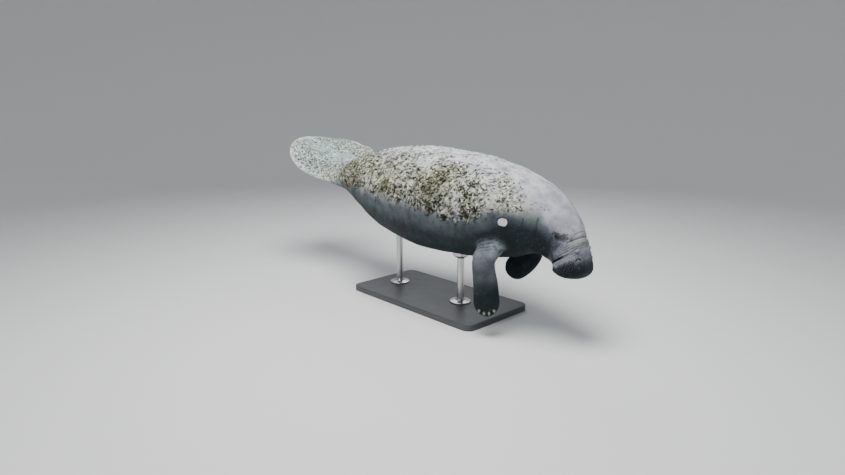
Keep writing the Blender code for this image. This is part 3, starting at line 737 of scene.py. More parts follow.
def nostrilHeight(points, side):
    # A crescent slit, arched to the forehead, with a soft flap inside the arch, and painted shade along the
    # slit
    bend = face["nostrilHalfLength"] / math.sin(math.radians(75))
    y, x, off = placedBy(points, "nostril", side)
    y, sideOn = y - 0.6 * bend, off < 0.03
    angle = np.arctan2(x, -y)
    radius = np.hypot(x, y)
    inArc = np.clip(np.abs(angle), 0, math.radians(78))
    end = np.stack([np.sin(inArc) * np.sign(x) * bend, -np.cos(inArc) * bend], -1)
    slit = np.linalg.norm(np.stack([x, y], -1) - end, axis=1)
    height = -sculpture["nostrilDepth"] * hill(slit, 0, 0.0024)
    height += 0.0024 * hill(radius, 0.0045, 0.0055)
    height += 0.0022 * hill(radius, bend + 0.0062, 0.0036) * (1 - smoothRise(np.abs(angle), 1.0, 1.9))
    return height * sideOn, hill(slit, 0, 0.0032) * sideOn


def mouthPath():
    shares = np.linspace(0, 1, 12)
    (place, turn), (lastPlace, lastTurn) = face["mouthMiddle"], face["mouthCorner"]
    return np.stack([place + (lastPlace - place) * shares ** 1.6, turn + (lastTurn - turn) * shares], -1)


def faceHeight(points, along, fromTop):
    # Folds of the snout, lips and cheeks; the second value is painted shade in the mouth line and the deep
    # crease
    fine = roughness(points, 0.006, 3.1, 2)
    broad = roughness(points, 0.030, 8.7, 2)
    crease = face["crease"] + face["creaseRise"] * smoothRise(fromTop, 60, 120)
    height = np.zeros(len(points))
    for start, kind in ((crease, "creaseFolds"), (0, "noseFolds")):
        for size, place, waver, width, *turns in sculpture[kind]:
            fold = hill(along, start + place + waver * broad, width)
            height += size * fold * plateau(fromTop, *turns)
    rows = np.sin((along + 0.0035 * broad - 0.00004 * fromTop) * 2 * math.pi / 0.0098)
    snout = plateau(along, 0.150, 0.184, 0.010) * plateau(fromTop, 0, 82, 16)
    height += 0.0017 * rows * snout * (0.75 + 0.4 * broad)
    lipRows = np.sin((along + 0.0030 * broad) * 2 * math.pi / 0.0085)
    lips = plateau(along, 0.078, 0.122, 0.012) * plateau(fromTop, 46, 132, 16)
    height += 0.0009 * lipRows * lips * plateau(fromTop, 60, 110, 14) + 0.0015 * fine * lips
    height += 0.0010 * fine * snout
    height -= 0.0042 * hill(pathDistance(along, fromTop, sculpture["underEyeFold"]), 0, 0.0036)
    for kind in ("cheekFolds", "browFolds"):
        depth, width, uneven, folds = sculpture[kind]
        for fold in folds:
            height -= depth * hill(pathDistance(along, fromTop, fold), 0, width) * (0.8 + uneven * broad)
    for fold in sculpture["neckCreases"]:
        height -= 0.0026 * hill(pathDistance(along, fromTop, fold, 0.0032) + 0.002 * broad, 0, 0.0050)
    mouth = pathDistance(along, fromTop, mouthPath(), 0.0019)
    height -= 0.0085 * hill(mouth, 0, 0.0042)
    height += 0.0030 * hill(mouth, 0.0105, 0.0050) * plateau(fromTop, 120, 180, 15)
    muzzle = (1 - smoothRise(along, 0.10, 0.14)) * smoothRise(along, 0.004, 0.02)
    height += (0.0009 * fine + 0.0016 * roughness(points, 0.016, 6.6, 3)) * muzzle
    chin = plateau(along, 0.06, 0.20, 0.02) * smoothRise(fromTop, 135, 155)
    height += 0.0016 * roughness(points, 0.012, 1.3, 2) * chin
    cheek = plateau(along, 0.16, 0.30, 0.03) * plateau(fromTop, 70, 135, 18)
    height += 0.0012 * roughness(points, 0.014, 5.5, 2) * cheek
    dark = hill(mouth, 0, 0.006) + 0.8 * hill(along, crease, 0.0028) * plateau(fromTop, 46, 126, 26)
    return height, dark


def bodyHeight(points, along, fromTop, flipperMask, gap):
    # Soft unevenness of the trunk and tail, and the folds where the flippers grow
    trunk = smoothRise(along, 0.30, 0.60) * (1 - smoothRise(along, 2.15, 2.40)) * (1 - flipperMask)
    height = 0.0030 * roughness(points, 0.16, 2.2, 2) * trunk
    ridge = 1 - np.abs(roughness(points * (1.0, 1.0, 0.6), 0.055, 4.4, 3))
    height += 0.0022 * (ridge - 0.75) * trunk
    paddle = smoothRise(along, 2.25, 2.50)
    height += 0.0018 * roughness(points, 0.05, 6.1, 3) * paddle
    for scar in sculpture["scars"]:
        height -= 0.0030 * hill(pathDistance(along, fromTop, scar, 0.0058), 0, 0.007)
    navel = np.hypot(along - 1.24, (180 - fromTop) * 0.0062)
    height -= 0.006 * hill(navel, 0, 0.016)
    height += 0.003 * hill(navel, 0.032, 0.014)
    wavering = along + 0.030 * roughness(points, 0.12, 31.0, 2)
    tailFold = np.sin(wavering * 2 * math.pi / 0.062 + 1.2) * plateau(along, 2.10, 2.30, 0.10)
    height += 0.0012 * tailFold * smoothRise(fromTop, 50, 100)
    wave = np.sin(gap * 2 * math.pi / 0.019 + 2.5 * roughness(points, 0.05, 9.9, 2))
    height += 0.0024 * wave * (1 - smoothRise(gap, 0.030, 0.085)) * smoothRise(gap, 0.004, 0.012)
    return height


def lipPits(points, along, fromTop):
    # Roots of the bristles, spread over the lip pads
    draw = np.random.default_rng(sculpture["seed"])
    pad = (along > 0.060) & (along < 0.122) & (fromTop > 58) & (fromTop < 138)
    order = draw.permutation(np.flatnonzero(pad))
    chosen = []
    for k in order:
        if all(np.linalg.norm(points[k] - points[other]) > 0.0085 for other in chosen):
            chosen.append(k)
        if len(chosen) == 2 * sculpture["lipPits"]:
            break
    return np.array(chosen)


def nailHeight(points):
    # The skin is raised round each nail
    height = np.zeros(len(points))
    for side in ("right", "left"):
        for middle in nailMiddles(side):
            gap = gapFrom(points, middle)
            height += 0.0022 * hill(gap, 0.0135, 0.0035) - 0.0008 * hill(gap, 0, 0.008)
    return height


def sculptSkin(body):
    joinFlippers(body)
    mesh = body.data
    gap, flipper = readValues(mesh, "gap"), readValues(mesh, "flipper")
    ease = 0.75 * (1 - smoothRise(gap, 0.004, sculpture["filletReach"]))
    setPoints(mesh, relaxed(mesh, pointsOf(mesh), ease, 30))
    flipper = relaxed(mesh, flipper, 0.6 * (gap < 0.10), 16)
    points, normals = pointsOf(mesh), normalsOf(mesh)
    along, turn = placesOf(mesh)
    fromTop = fromTopOf(turn)
    side = np.where(np.cos(turn) > 0, 1, -1)
    print("  skin joined:", len(mesh.polygons), "faces")
    height = bodyHeight(points, along, fromTop, flipper, gap) + nailHeight(points)
    dark, shadow = np.zeros(len(points)), np.zeros(len(points))
    head = (along < 0.44) & (flipper < 0.01)
    height[head] *= smoothRise(along[head], 0.30, 0.44)
    more, shade = faceHeight(points[head], along[head], fromTop[head])
    height[head] += more
    dark[head] += shade
    for way in (1, -1):
        near = head & (side == way)
        shadow[near] = eyeShade(points[near], along[near], fromTop[near], way)
        more, shade = eyeHeight(points[near], way)
        height[near] = height[near] * (1 - 0.6 * shadow[near]) + more
        dark[near] += shade
        more, shade = nostrilHeight(points[near], way)
        height[near] += more
        dark[near] += shade
    pits = lipPits(points, along, fromTop)
    pit = hill(gapTo(points[pits], points, head & (along < 0.14)), 0, 0.0024)
    height -= 0.0013 * pit
    # painted shade in the bristle pits
    dark += 0.55 * pit
    # painted shade in the hollows of the relief
    cavity = relaxed(mesh, height, 0.6, 10) - height
    setPoints(mesh, points + normals * height[:, None])
    # patch holds painted shade round and ahead of the eyes
    writeValues(mesh, "patch", shadow)
    writeValues(mesh, "flipper", flipper)
    # fold holds painted shade in creases, hollows, the eye sockets, the nostrils and the pits
    writeValues(mesh, "fold", np.clip(dark * 0.8 + cavity / 0.0022, 0, 1))
    writeValues(mesh, "algae", algaeShare(points, along, fromTop) * (1 - np.clip(flipper * 3, 0, 1)))
    writeValues(mesh, "olive", oliveShare(points, along, fromTop))
    pickOnly(body)
    bpy.ops.object.shade_smooth()
    return [(points[k], normals[k], along[k], turn[k]) for k in pits]


# Algae and hairs: solid tufts that lie back along the body
coat = {
    # Edges of the belt: places and degrees from the top
    "lowerEdge": [(0.30, 30), (0.38, 62), (0.43, 74), (0.53, 88), (0.64, 95), (0.80, 99), (0.95, 99),
                  (1.20, 94), (1.55, 93), (1.85, 93), (2.05, 96), (2.30, 92), (3.0, 92)],
    "paleEdge": [(0.30, 78), (0.50, 80), (0.64, 88), (0.80, 96), (1.20, 94), (2.05, 95), (2.30, 92),
                 (3.0, 92)],
    "upperEdge": [(0.30, 20), (0.45, 22), (0.90, 17), (1.30, 15), (1.60, 13), (1.90, 6), (2.10, 0),
                  (3.0, 0)],
    "split": 1.2,            # place where the front pieces end and the rear ones begin
    "clumps": 11500,         # on the trunk
    "paddleClumps": 3200,
    "blades": 6,             # in a clump
    "length": (0.006, 0.014),
    "width": 0.0019,
    "lift": (0.0010, 0.0038),
    "spread": 0.0046,        # how far the blades of a clump stand apart
    "olive": [(2.10, 55, 0.26), (1.02, 58, 0.13), (1.42, 76, 0.10)],    # yellowish: place, degrees, reach
    "seed": 21,
}
hairs = {
    "body": 1300,
    "length": (0.012, 0.024),
    "thickness": 0.0007,
    "shape": (0.85, 0.12, 0.40, 0.8, 0.1),     # reach, lift at the middle and tip, flatness, curl
    "shades": (0.3, 0.9),
    "eyeGap": 0.03,
    "seed": 5,
    "colours": ((0.05, 0.045, 0.035, 1), (0.20, 0.19, 0.165, 1)),
}
bristles = {
    "length": (0.007, 0.014),
    "thickness": 0.0014,
    "shape": (0.6, 0.30, 0.75, 0.9, 0.08),
    "shades": (0.4, 1),
    "seed": 9,
}


def algaeShare(points, along, fromTop):
    # How thickly the algae grow: in a belt down each side, in patches, and over the paddle's top
    lower = smoothThrough(coat["lowerEdge"], along) + 6 * roughness(points, 0.10, 12.5, 3)
    upper = smoothThrough(coat["upperEdge"], along)
    share = smoothRise(lower - fromTop, -2, 16)
    share *= 0.10 + 0.90 * smoothRise(fromTop + 7 * roughness(points, 0.12, 17.0, 3), upper - 6, upper + 30)
    patches = roughness(points, 0.15, 3.3, 3)
    patches *= 1 - smoothRise(along, 2.15, 2.30)
    share *= np.clip(0.66 + 0.60 * patches, 0.14, 1) * smoothRise(along, 0.24, 0.58)
    share *= 1 - 0.28 * (1 - smoothRise(along, 0.58, 0.95))
    return np.clip(share * (1 - 0.30 * smoothRise(along, 2.15, 2.40)), 0, 1)


def oliveShare(points, along, fromTop):
    share = 0.6 * np.clip(roughness(points, 0.20, 21.0, 2), 0, 1)
    for place, turn, reach in coat["olive"]:
        share += hill(np.hypot(along - place, (fromTop - turn) * 0.0055), 0, reach)
    return np.clip(share, 0, 1)


def scatter(mesh, density, count, draw):
    # Random places on the faces, closest where the density is high
    mesh.calc_loop_triangles()
    corners = readAll(mesh.loop_triangles, "vertices", 3, int)
    points, normals = pointsOf(mesh), normalsOf(mesh)
    one, two, three = [points[corners[:, k]] for k in range(3)]
    chance = np.linalg.norm(np.cross(two - one, three - one), axis=1) * density[corners].mean(axis=1)
    chosen = draw.choice(len(corners), count, p=chance / chance.sum())
    first, second = draw.random(count), draw.random(count)
    flip = first + second > 1
    first[flip], second[flip] = 1 - first[flip], 1 - second[flip]
    weights = np.stack([1 - first - second, first, second], -1)
    picked = corners[chosen]
    spot, facing, along = [np.einsum("nk,nk...->n...", weights, values[picked])
                           for values in (points, normals, readValues(mesh, "along"))]
    return spot, unit(facing), along, readValues(mesh, "turn")[picked[:, 0]]


def bladePiece(name, roots, normals, headings, sizes, shades, unwrap):
    # Joined solid blades: three-sided, wide at the middle, bent and pointed
    length, width, lift, tipLift, thickness, curl = [size[:, None] for size in sizes]
    across = unit(np.cross(headings, normals))
    sink = normals * 0.0015
    middle = roots + headings * length * 0.45 + normals * lift + across * curl * 0.4
    tip = roots + headings * length + normals * tipLift + across * curl
    corners = np.stack([
        roots - across * width * 0.4 - sink, roots + across * width * 0.4 - sink, roots + normals * thickness,
        middle - across * width * 0.5, middle + across * width * 0.5, middle + normals * thickness,
        tip], axis=1)
    pattern = np.array([(0, 2, 1), (0, 1, 4), (0, 4, 3), (1, 2, 5), (1, 5, 4), (2, 0, 3), (2, 3, 5),
                        (3, 4, 6), (4, 5, 6), (5, 3, 6)])
    count = len(roots)
    one = corners[0]
    volume = sum(np.dot(one[a], np.cross(one[b], one[c])) for a, b, c in pattern)
    if volume < 0:
        pattern = pattern[:, ::-1]
    faces = (np.arange(count)[:, None, None] * 7 + pattern[None]).reshape(-1, 3)
    mesh = bpy.data.meshes.new(name)
    mesh.vertices.add(count * 7)
    mesh.vertices.foreach_set("co", corners.astype(np.float32).ravel())
    mesh.loops.add(len(faces) * 3)
    mesh.loops.foreach_set("vertex_index", faces.ravel().astype(np.int32))
    mesh.polygons.add(len(faces))
    mesh.polygons.foreach_set("loop_start", (np.arange(len(faces)) * 3).astype(np.int32))
    mesh.update(calc_edges=True)
    tile = np.array([(0, 0), (1, 0), (0.5, 0.2), (0, 0.5), (1, 0.5), (0.5, 0.7), (0.5, 1)]) * 0.003
    places = (unwrap[:, None] + tile[None]).reshape(-1, 2)
    layer = mesh.uv_layers.new(name="OFBake")
    layer.data.foreach_set("uv", places[faces.ravel()].astype(np.float32).ravel())
    writeValues(mesh, "shade", np.repeat(shades, 7))
    piece = bpy.data.objects.new(name, mesh)
    bpy.context.scene.collection.objects.link(piece)
    return piece


def skinUnwrap(along, turn):
    # Along the body and round it, each from 0 to 1
    shares = np.stack([along / spine["length"], (turn / (2 * math.pi)) % 1], -1)
    return 0.002 + shares * 0.99


def lieOfCoat(along, turn, normals, draw, spread):
    # Back along the body and down its sides, with some spread
    _, back, _, up = spineFrame(along)
    side = np.where(np.cos(turn) > 0, 1, -1)
    down = unit(np.cross(normals, back) * side[:, None])
    down *= np.sign((down * -up).sum(-1, keepdims=True) + 1e-9)
    turnBy = draw.normal(0, spread, len(along))[:, None]
    heading = back * np.cos(0.62 + turnBy) + down * np.sin(0.62 + turnBy)
    return squareTo(normals, heading)


def clumpPiece(name, mesh, density, clumps):
    draw = np.random.default_rng(coat["seed"] + len(name))
    roots, normals, along, turn = scatter(mesh, density, clumps, draw)
    headings = lieOfCoat(along, turn, normals, draw, 0.55)
    size = draw.uniform(0.6, 1.25, clumps)
    tint = draw.beta(0.75, 1.25, clumps)
    below = fromTopOf(turn) - smoothThrough(coat["lowerEdge"], along)
    tint += 0.50 * roughness(roots, 0.024, 40.0, 2)
    tint += (0.34 - tint) * 0.65 * oliveShare(roots, along, fromTopOf(turn))
    tint *= 1 - 0.55 * smoothRise(below, -20, -4) * (1 - smoothRise(along, 1.95, 2.15))
    tint *= (1 - 0.55 * smoothRise(along, 2.15, 2.35)) * (0.55 + 0.45 * smoothRise(along, 0.60, 1.20))
    size *= (1 - 0.34 * smoothRise(along, 2.1, 2.3)) * (0.62 + 0.38 * smoothRise(along, 0.45, 0.95))
    each = coat["blades"]
    roots, normals, along, turn, headings, size, tint = [
        np.repeat(values, each, axis=0) for values in (roots, normals, along, turn, headings, size, tint)]
    count = len(roots)
    across = np.cross(headings, normals)
    spread = coat["spread"] * size[:, None]
    roots = roots + across * draw.normal(0, 0.45, (count, 1)) * spread
    roots = roots + headings * draw.normal(0, 1.0, (count, 1)) * spread
    turnBy = draw.normal(0, 0.32, count)[:, None]
    headings = unit(headings * np.cos(turnBy) + across * np.sin(turnBy))
    length = draw.uniform(*coat["length"], count) * size
    lift = draw.uniform(*coat["lift"], count) * size
    sizes = [length, coat["width"] * size * draw.uniform(0.6, 1.4, count), lift,
             lift * draw.uniform(0.2, 1.0, count), 0.0009 * size, draw.normal(0, 0.25, count) * length]
    shades = np.clip(tint + draw.normal(0, 0.13, count), 0, 1)
    return bladePiece(name, roots, normals, headings, sizes, shades, skinUnwrap(along, turn))


def growAlgae(body):
    mesh = body.data
    along, turn = placesOf(mesh)
    uneven = roughness(pointsOf(mesh), 0.045, 30.0, 2) * (1 - 0.8 * smoothRise(along, 2.1, 2.3))
    clustered = np.clip(0.65 + 1.0 * uneven, 0.08, 1.5)
    bare = np.maximum(0.9 * readValues(mesh, "pale"), readValues(mesh, "rim"))
    density = readValues(mesh, "algae") ** 1.35 * clustered * (1 - bare)
    trunk = (1 - smoothRise(along, 2.02, 2.06))
    pieces = []
    for side, onSide in (("right", np.cos(turn) <= 0), ("left", np.cos(turn) > 0)):
        for end, atEnd in (("front", along < coat["split"]), ("rear", along >= coat["split"])):
            name = "algae_%s_%s" % (side, end)
            pieces.append(clumpPiece(name, mesh, density * (onSide * atEnd * trunk), coat["clumps"] // 4))
    pieces.append(clumpPiece("algae_paddle", mesh, density * (1 - trunk), coat["paddleClumps"]))
    return pieces


def hairPiece(name, kind, roots, normals, headings, unwrap, draw):
    count = len(roots)
    reach, lift, tipLift, flat, curl = kind["shape"]
    length = draw.uniform(*kind["length"], count)
    thick = np.full(count, kind["thickness"])
    bend = draw.normal(0, curl, count) * length
    sizes = [length * reach, thick, length * lift, length * tipLift, thick * flat, bend]
    return bladePiece(name, roots, normals, headings, sizes, draw.uniform(*kind["shades"], count), unwrap)


def growHairs(body):
    # Single hairs, far apart over the trunk and head
    mesh = body.data
    draw = np.random.default_rng(hairs["seed"])
    along = readValues(mesh, "along")
    density = smoothRise(along, 0.02, 0.20) * (1 - smoothRise(along, 2.3, 2.6))
    density *= 1 - readValues(mesh, "flipper")
    for point in bothSides("eye"):
        density *= gapFrom(pointsOf(mesh), point) >= hairs["eyeGap"]
    density *= 1 + 2 * (along < 0.4)
    roots, normals, along, turn = scatter(mesh, density, hairs["body"], draw)
    headings = lieOfCoat(along, turn, normals, draw, 0.35)
    return hairPiece("body_hairs", hairs, roots, normals, headings, skinUnwrap(along, turn), draw)


def growBristles(pits):
    # Short stiff bristles, one from each pit on the lip pads
    draw = np.random.default_rng(bristles["seed"])
    roots, normals, along, turn = [np.array(values) for values in zip(*pits)]
    _, back, _, up = spineFrame(along)
    headings = unit(-back * 0.6 - up * 0.5 + draw.normal(0, 0.25, roots.shape))
    headings = squareTo(normals, headings)
    return hairPiece("lip_bristles", bristles, roots, normals, headings, skinUnwrap(along, turn), draw)


# Eyes and nails
eyeSizes = {
    "segments": 48,
    "rings": 32,
    "corneaAngle": 34,
    "corneaShare": 0.55,     # of that angle, the part that is moved whole
    "corneaRise": 0.0007,
    "pupil": (0.001, 0.001, 0.001, 1),
    "iris": ((0.004, 0.003, 0.002, 1), (0.010, 0.007, 0.005, 1)),
    "rim": (0.020, 0.014, 0.012, 1),
}
nailSizes = {
    "halfWidth": 0.0082,
    "halfLength": 0.0130,
    "halfThickness": 0.0040,
    "taper": 0.25,
    "fan": 0.5,              # how far the outer nails lean away from the middle
    "flipperHalf": 0.075,    # half the width of the flipper's end
    "ridges": (0.0006, 5),   # height and how close
    "droop": 0.0016,
    "colours": ((0.10, 0.090, 0.075, 1), (0.25, 0.235, 0.205, 1)),
}


def turnedTo(axis, toward):
    # A turn that carries Z to the axis and X as near as can be to another direction
    z = Vector(axis).normalized()
    x = (Vector(toward) - z * z.dot(Vector(toward))).normalized()
    return Matrix((x, z.cross(x), z)).transposed()


def makeEye(side):
    name = "eye_left" if side > 0 else "eye_right"
    low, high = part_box(name)
    _, normal, forward, _ = surfaceAxes(*face["eye"], side)
    eye = added(bpy.ops.mesh.primitive_uv_sphere_add, name + "_ball", segments=eyeSizes["segments"],
                ring_count=eyeSizes["rings"], radius=face["eyeRadius"], location=(low + high) / 2,
                rotation=turnedTo(normal, forward).to_euler())
    settle(eye)
    centre = np.array((low + high) / 2)
    out = unit(pointsOf(eye.data) - centre)
    angle = np.degrees(np.arccos(np.clip(out @ normal, -1, 1)))
    editOnly(eye, "vertices", angle < eyeSizes["corneaAngle"] * eyeSizes["corneaShare"])
    bpy.ops.transform.translate(value=Vector(normal) * eyeSizes["corneaRise"], use_proportional_edit=True,
                                proportional_size=face["eyeRadius"] * 0.5, proportional_edit_falloff="SMOOTH")
    leaveEdit()
    writeValues(eye.data, "fromAxis", angle / 90)
    bpy.ops.object.shade_smooth()
    return eye, name


def makeNail(side, number):
    name = "nail_%s_%d" % (side, number)
    low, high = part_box(name)
    middle = (low + high) / 2
    centres, headings, acrosses, throughs = flipperFrame(side, np.linspace(0.80, 1.0, 81))
    k = int(np.argmin(np.linalg.norm(centres - np.array(middle), axis=1)))
    facing = throughs[k] * flippers[side]["nailFace"]
    offset = float(np.dot(np.array(middle) - centres[k], acrosses[k]))
    lean = unit(headings[k] + acrosses[k] * offset / nailSizes["flipperHalf"] * nailSizes["fan"])
    nail = added(bpy.ops.mesh.primitive_uv_sphere_add, name + "_horn", segments=24, ring_count=16,
                 radius=1, location=middle, rotation=turnedTo(facing, lean).to_euler())
    nail.scale = (nailSizes["halfLength"], nailSizes["halfWidth"], nailSizes["halfThickness"])
    settle(nail)
    points = pointsOf(nail.data) - np.array(middle)
    ahead = points @ lean / nailSizes["halfLength"]
    toTip = np.clip(ahead, 0, 1) ** 2
    across = np.cross(facing, lean)
    points -= np.outer((points @ across) * nailSizes["taper"] * toTip, across)
    ridge, often = nailSizes["ridges"]
    ridge = ridge * np.cos((points @ across) / nailSizes["halfWidth"] * often)
    points += np.outer(ridge * (points @ facing > 0) - nailSizes["droop"] * toTip, facing)
    setPoints(nail.data, points + np.array(middle))
    writeValues(nail.data, "toTip", (ahead + 1) / 2)
    pickOnly(nail)
    bpy.ops.object.shade_smooth()
    return nail, name


# Screws that hold the rods' feet to the base
screwSizes = {
    "count": 4,
    "circle": 0.060,
    "foot": 0.0074,          # thickness of the rod's foot
    "radius": 0.0058,
    "height": 0.0042,
    "hex": 0.0030,
    "depth": 0.0024,
    "edge": 0.0007,
}


def facingUp(piece, least):
    return [polygon.normal.z > least for polygon in piece.data.polygons]


def makeScrews(rod):
    low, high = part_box(rod)
    middle = (low + high) / 2
    height = screwSizes["height"]
    made = []
    for number in range(screwSizes["count"]):
        turn = math.pi / 4 + number * 2 * math.pi / screwSizes["count"]
        x = middle.x + screwSizes["circle"] * math.cos(turn)
        y = middle.y + screwSizes["circle"] * math.sin(turn)
        z = low.z + screwSizes["foot"] + height / 2
        screw = added(bpy.ops.mesh.primitive_cylinder_add, "screw", vertices=36,
                      radius=screwSizes["radius"], depth=height, location=(x, y, z))
        settle(screw)
        editOnly(screw, "polygons", facingUp(screw, 0.9))
        bpy.ops.mesh.bevel(offset=screwSizes["edge"], segments=2)
        leaveEdit()
        editOnly(screw, "polygons", facingUp(screw, 0.99))
        bpy.ops.mesh.inset(thickness=screwSizes["radius"] - screwSizes["hex"] - screwSizes["edge"])
        bpy.ops.mesh.extrude_region_move(TRANSFORM_OT_translate={"value": (0, 0, -screwSizes["depth"])})
        leaveEdit()
        made.append(screw)
    pickOnly(made[0])
    for screw in made[1:]:
        screw.select_set(True)
    bpy.ops.object.join()
    joined = bpy.context.object
    joined.name = rod + "_screws"
    bpy.ops.object.shade_smooth_by_angle(angle=math.radians(35))
    return joined


# Materials
class Wire:
    # A node socket that works in sums like a number
    def __init__(self, finish, socket):
        self.finish = finish
        self.socket = socket

    def sum(self, operation, first, second, third=0.5):
        return self.finish.node("Math", {"operation": operation}, {0: first, 1: second, 2: third})

    def __add__(self, other):
        return self.sum("ADD", self, other)

    def __radd__(self, other):
        return self.sum("ADD", other, self)

    def __sub__(self, other):
        return self.sum("SUBTRACT", self, other)

    def __rsub__(self, other):
        return self.sum("SUBTRACT", other, self)

    def __mul__(self, other):
        return self.sum("MULTIPLY", self, other)

    def __rmul__(self, other):
        return self.sum("MULTIPLY", other, self)

    def __truediv__(self, other):
        return self.sum("DIVIDE", self, other)

    def __rtruediv__(self, other):
        return self.sum("DIVIDE", other, self)

    def rise(self, start, end, low=0.0, high=1.0):
        # An eased step from one value to another
        return self.finish.node("MapRange", {"interpolation_type": "SMOOTHSTEP"},
                                {0: self, 1: start, 2: end, 3: low, 4: high})


class Finish:
    def __init__(self, name, **constants):
        self.material = bpy.data.materials.new(name)
        self.material.use_nodes = True
        self.tree = self.material.node_tree
        self.shader = self.tree.nodes["Principled BSDF"]
        for socket, value in constants.items():
            self.shader.inputs[socket.replace("_", " ")].default_value = value

    def node(self, kind, settings, inputs, output=0):
        made = self.tree.nodes.new("ShaderNode" + kind)
        for key, value in settings.items():
            setattr(made, key, value)
        for key, value in inputs.items():
            if isinstance(value, Wire):
                self.tree.links.new(value.socket, made.inputs[key])
            else:
                made.inputs[key].default_value = value
        return Wire(self, made.outputs[output])

    def places(self):
        return self.node("TexCoord", {}, {}, "Object")

    def stored(self, name, output="Fac"):
        return self.node("Attribute", {"attribute_name": name}, {}, output)

    def noise(self, scale, detail=3.0, rough=0.55, stretch=(1, 1, 1), shift=0.0):
        place = self.node("Mapping", {}, {"Vector": self.places(), "Scale": stretch,
                                          "Location": (shift,) * 3})
        return self.node("TexNoise", {}, {"Vector": place, "Scale": scale, "Detail": detail,
                                          "Roughness": rough})

    def cells(self, scale, feature="F1", stretch=(1, 1, 1), warp=0.0):
        place = self.node("Mapping", {}, {"Vector": self.places(), "Scale": stretch})
        if warp:
            push = self.node("TexNoise", {}, {"Vector": place, "Scale": scale * 0.6, "Detail": 2.0}, "Color")
            push = self.node("VectorMath", {"operation": "SCALE"}, {0: push, "Scale": warp})
            place = self.node("VectorMath", {"operation": "ADD"}, {0: place, 1: push})
        return self.node("TexVoronoi", {"feature": feature}, {"Vector": place, "Scale": scale})

    def blend(self, share, first, second, way="MIX"):
        return self.node("Mix", {"data_type": "RGBA", "blend_type": way, "clamp_factor": True},
                         {0: share, 6: first, 7: second}, 2)

    def give(self, socket, wire):
        self.tree.links.new(wire.socket, self.shader.inputs[socket])

    def bump(self, height, distance):
        inputs = {"Strength": 1.0, "Distance": distance, "Height": height}
        self.give("Normal", self.node("Bump", {}, inputs, "Normal"))


# Colours of the skin as linear values
tones = {
    # painted light: the back is paler, as if lit from above
    "back": (0.51, 0.515, 0.555, 1),
    "belt": (0.58, 0.60, 0.545, 1),         # under the algae
    # painted shade: the sides and the underside darken downwards, away from the light
    "shadedFlank": (0.112, 0.140, 0.158, 1),
    "shadedBelly": (0.015, 0.027, 0.032, 1),
    # painted light on the head's top, the snout and the lip pads' upper edge; painted shade down its sides,
    # on the muzzle's front and end and on the lip pads
    "litHeadTop": (0.43, 0.445, 0.505, 1),
    "shadedHeadSide": (0.078, 0.102, 0.124, 1),
    # painted shade under the head and throat
    "jawShade": (0.012, 0.021, 0.026, 1),
    # painted light on the snout's top
    "snout": (0.52, 0.535, 0.555, 1),
    "halfShadedNoseTop": (0.28, 0.310, 0.370, 1),
    "litLipTop": (0.50, 0.520, 0.590, 1),
    # painted shade round and ahead of the eyes
    "eyeShade": (0.020, 0.027, 0.034, 1),
    "shadedLipPad": (0.040, 0.056, 0.080, 1),
    "shadedMuzzleEnd": (0.006, 0.013, 0.019, 1),
    # painted light on the flippers' upper part, painted shade lower down and on the far flipper
    "litFlipper": (0.36, 0.41, 0.47, 1),
    "shadedFlipper": (0.010, 0.019, 0.025, 1),
    "paddle": (0.45, 0.56, 0.555, 1),
    # painted shade under the paddle
    "shadedPaddleUnder": (0.10, 0.14, 0.15, 1),
    "margin": (0.68, 0.72, 0.70, 1),
    # painted shade in creases and hollows
    "fold": (0.012, 0.015, 0.018, 1),
    "weedDark": (0.013, 0.020, 0.013, 1),
    "weedOlive": (0.150, 0.148, 0.062, 1),
    "film": (0.80, 0.81, 0.71, 1),
    "pale": (0.66, 0.68, 0.66, 1),
    "darker": (0.74, 0.75, 0.78, 1),        # times the broad colour
    "paler": (1.20, 1.18, 1.14, 1),
    "grime": (0.045, 0.060, 0.066, 1),
    "pebble": (0.090, 0.100, 0.120, 1),
    "speck": (0.050, 0.095, 0.085, 1),      # on the paddle
    "oliveFilm": (0.32, 0.315, 0.15, 1),
    "oliveDark": (0.070, 0.075, 0.025, 1),
    "patch": (0.80, 0.80, 0.77, 1),
    "patchShadow": (0.030, 0.036, 0.036, 1),
}
marks = {                    # pale scratches on each side: places and degrees from the top, then width
    "right": [([(0.990, 56), (0.975, 66), (0.950, 78), (0.924, 90)], 0.0085),
              ([(0.600, 34), (0.606, 45)], 0.0080), ([(0.492, 50), (0.484, 57)], 0.0080),
              ([(0.84, 68), (0.82, 80), (0.78, 94)], 0.0070), ([(0.80, 96), (0.86, 91), (0.92, 90)], 0.0075),
              ([(0.74, 58), (0.70, 66), (0.67, 76)], 0.0070)],
    "left": [([(1.12, 60), (1.07, 76), (1.02, 93)], 0.0085), ([(0.70, 58), (0.66, 80)], 0.0075),
             ([(1.52, 48), (1.44, 60), (1.40, 74)], 0.0075), ([(0.86, 84), (0.92, 96)], 0.0080)],
}
whitePatch = {"place": (0.505, 90), "length": 0.030, "height": 0.024}    # on the right side


def mixed(first, second, share):
    share = np.asarray(share)[:, None]
    return first * (1 - share) + second * share


def layered(colour, layers):
    # A tone laid over the colours, then the next, each with its own share
    for name, share in layers:
        colour = mixed(colour, np.array(tones[name]), share)
    return colour


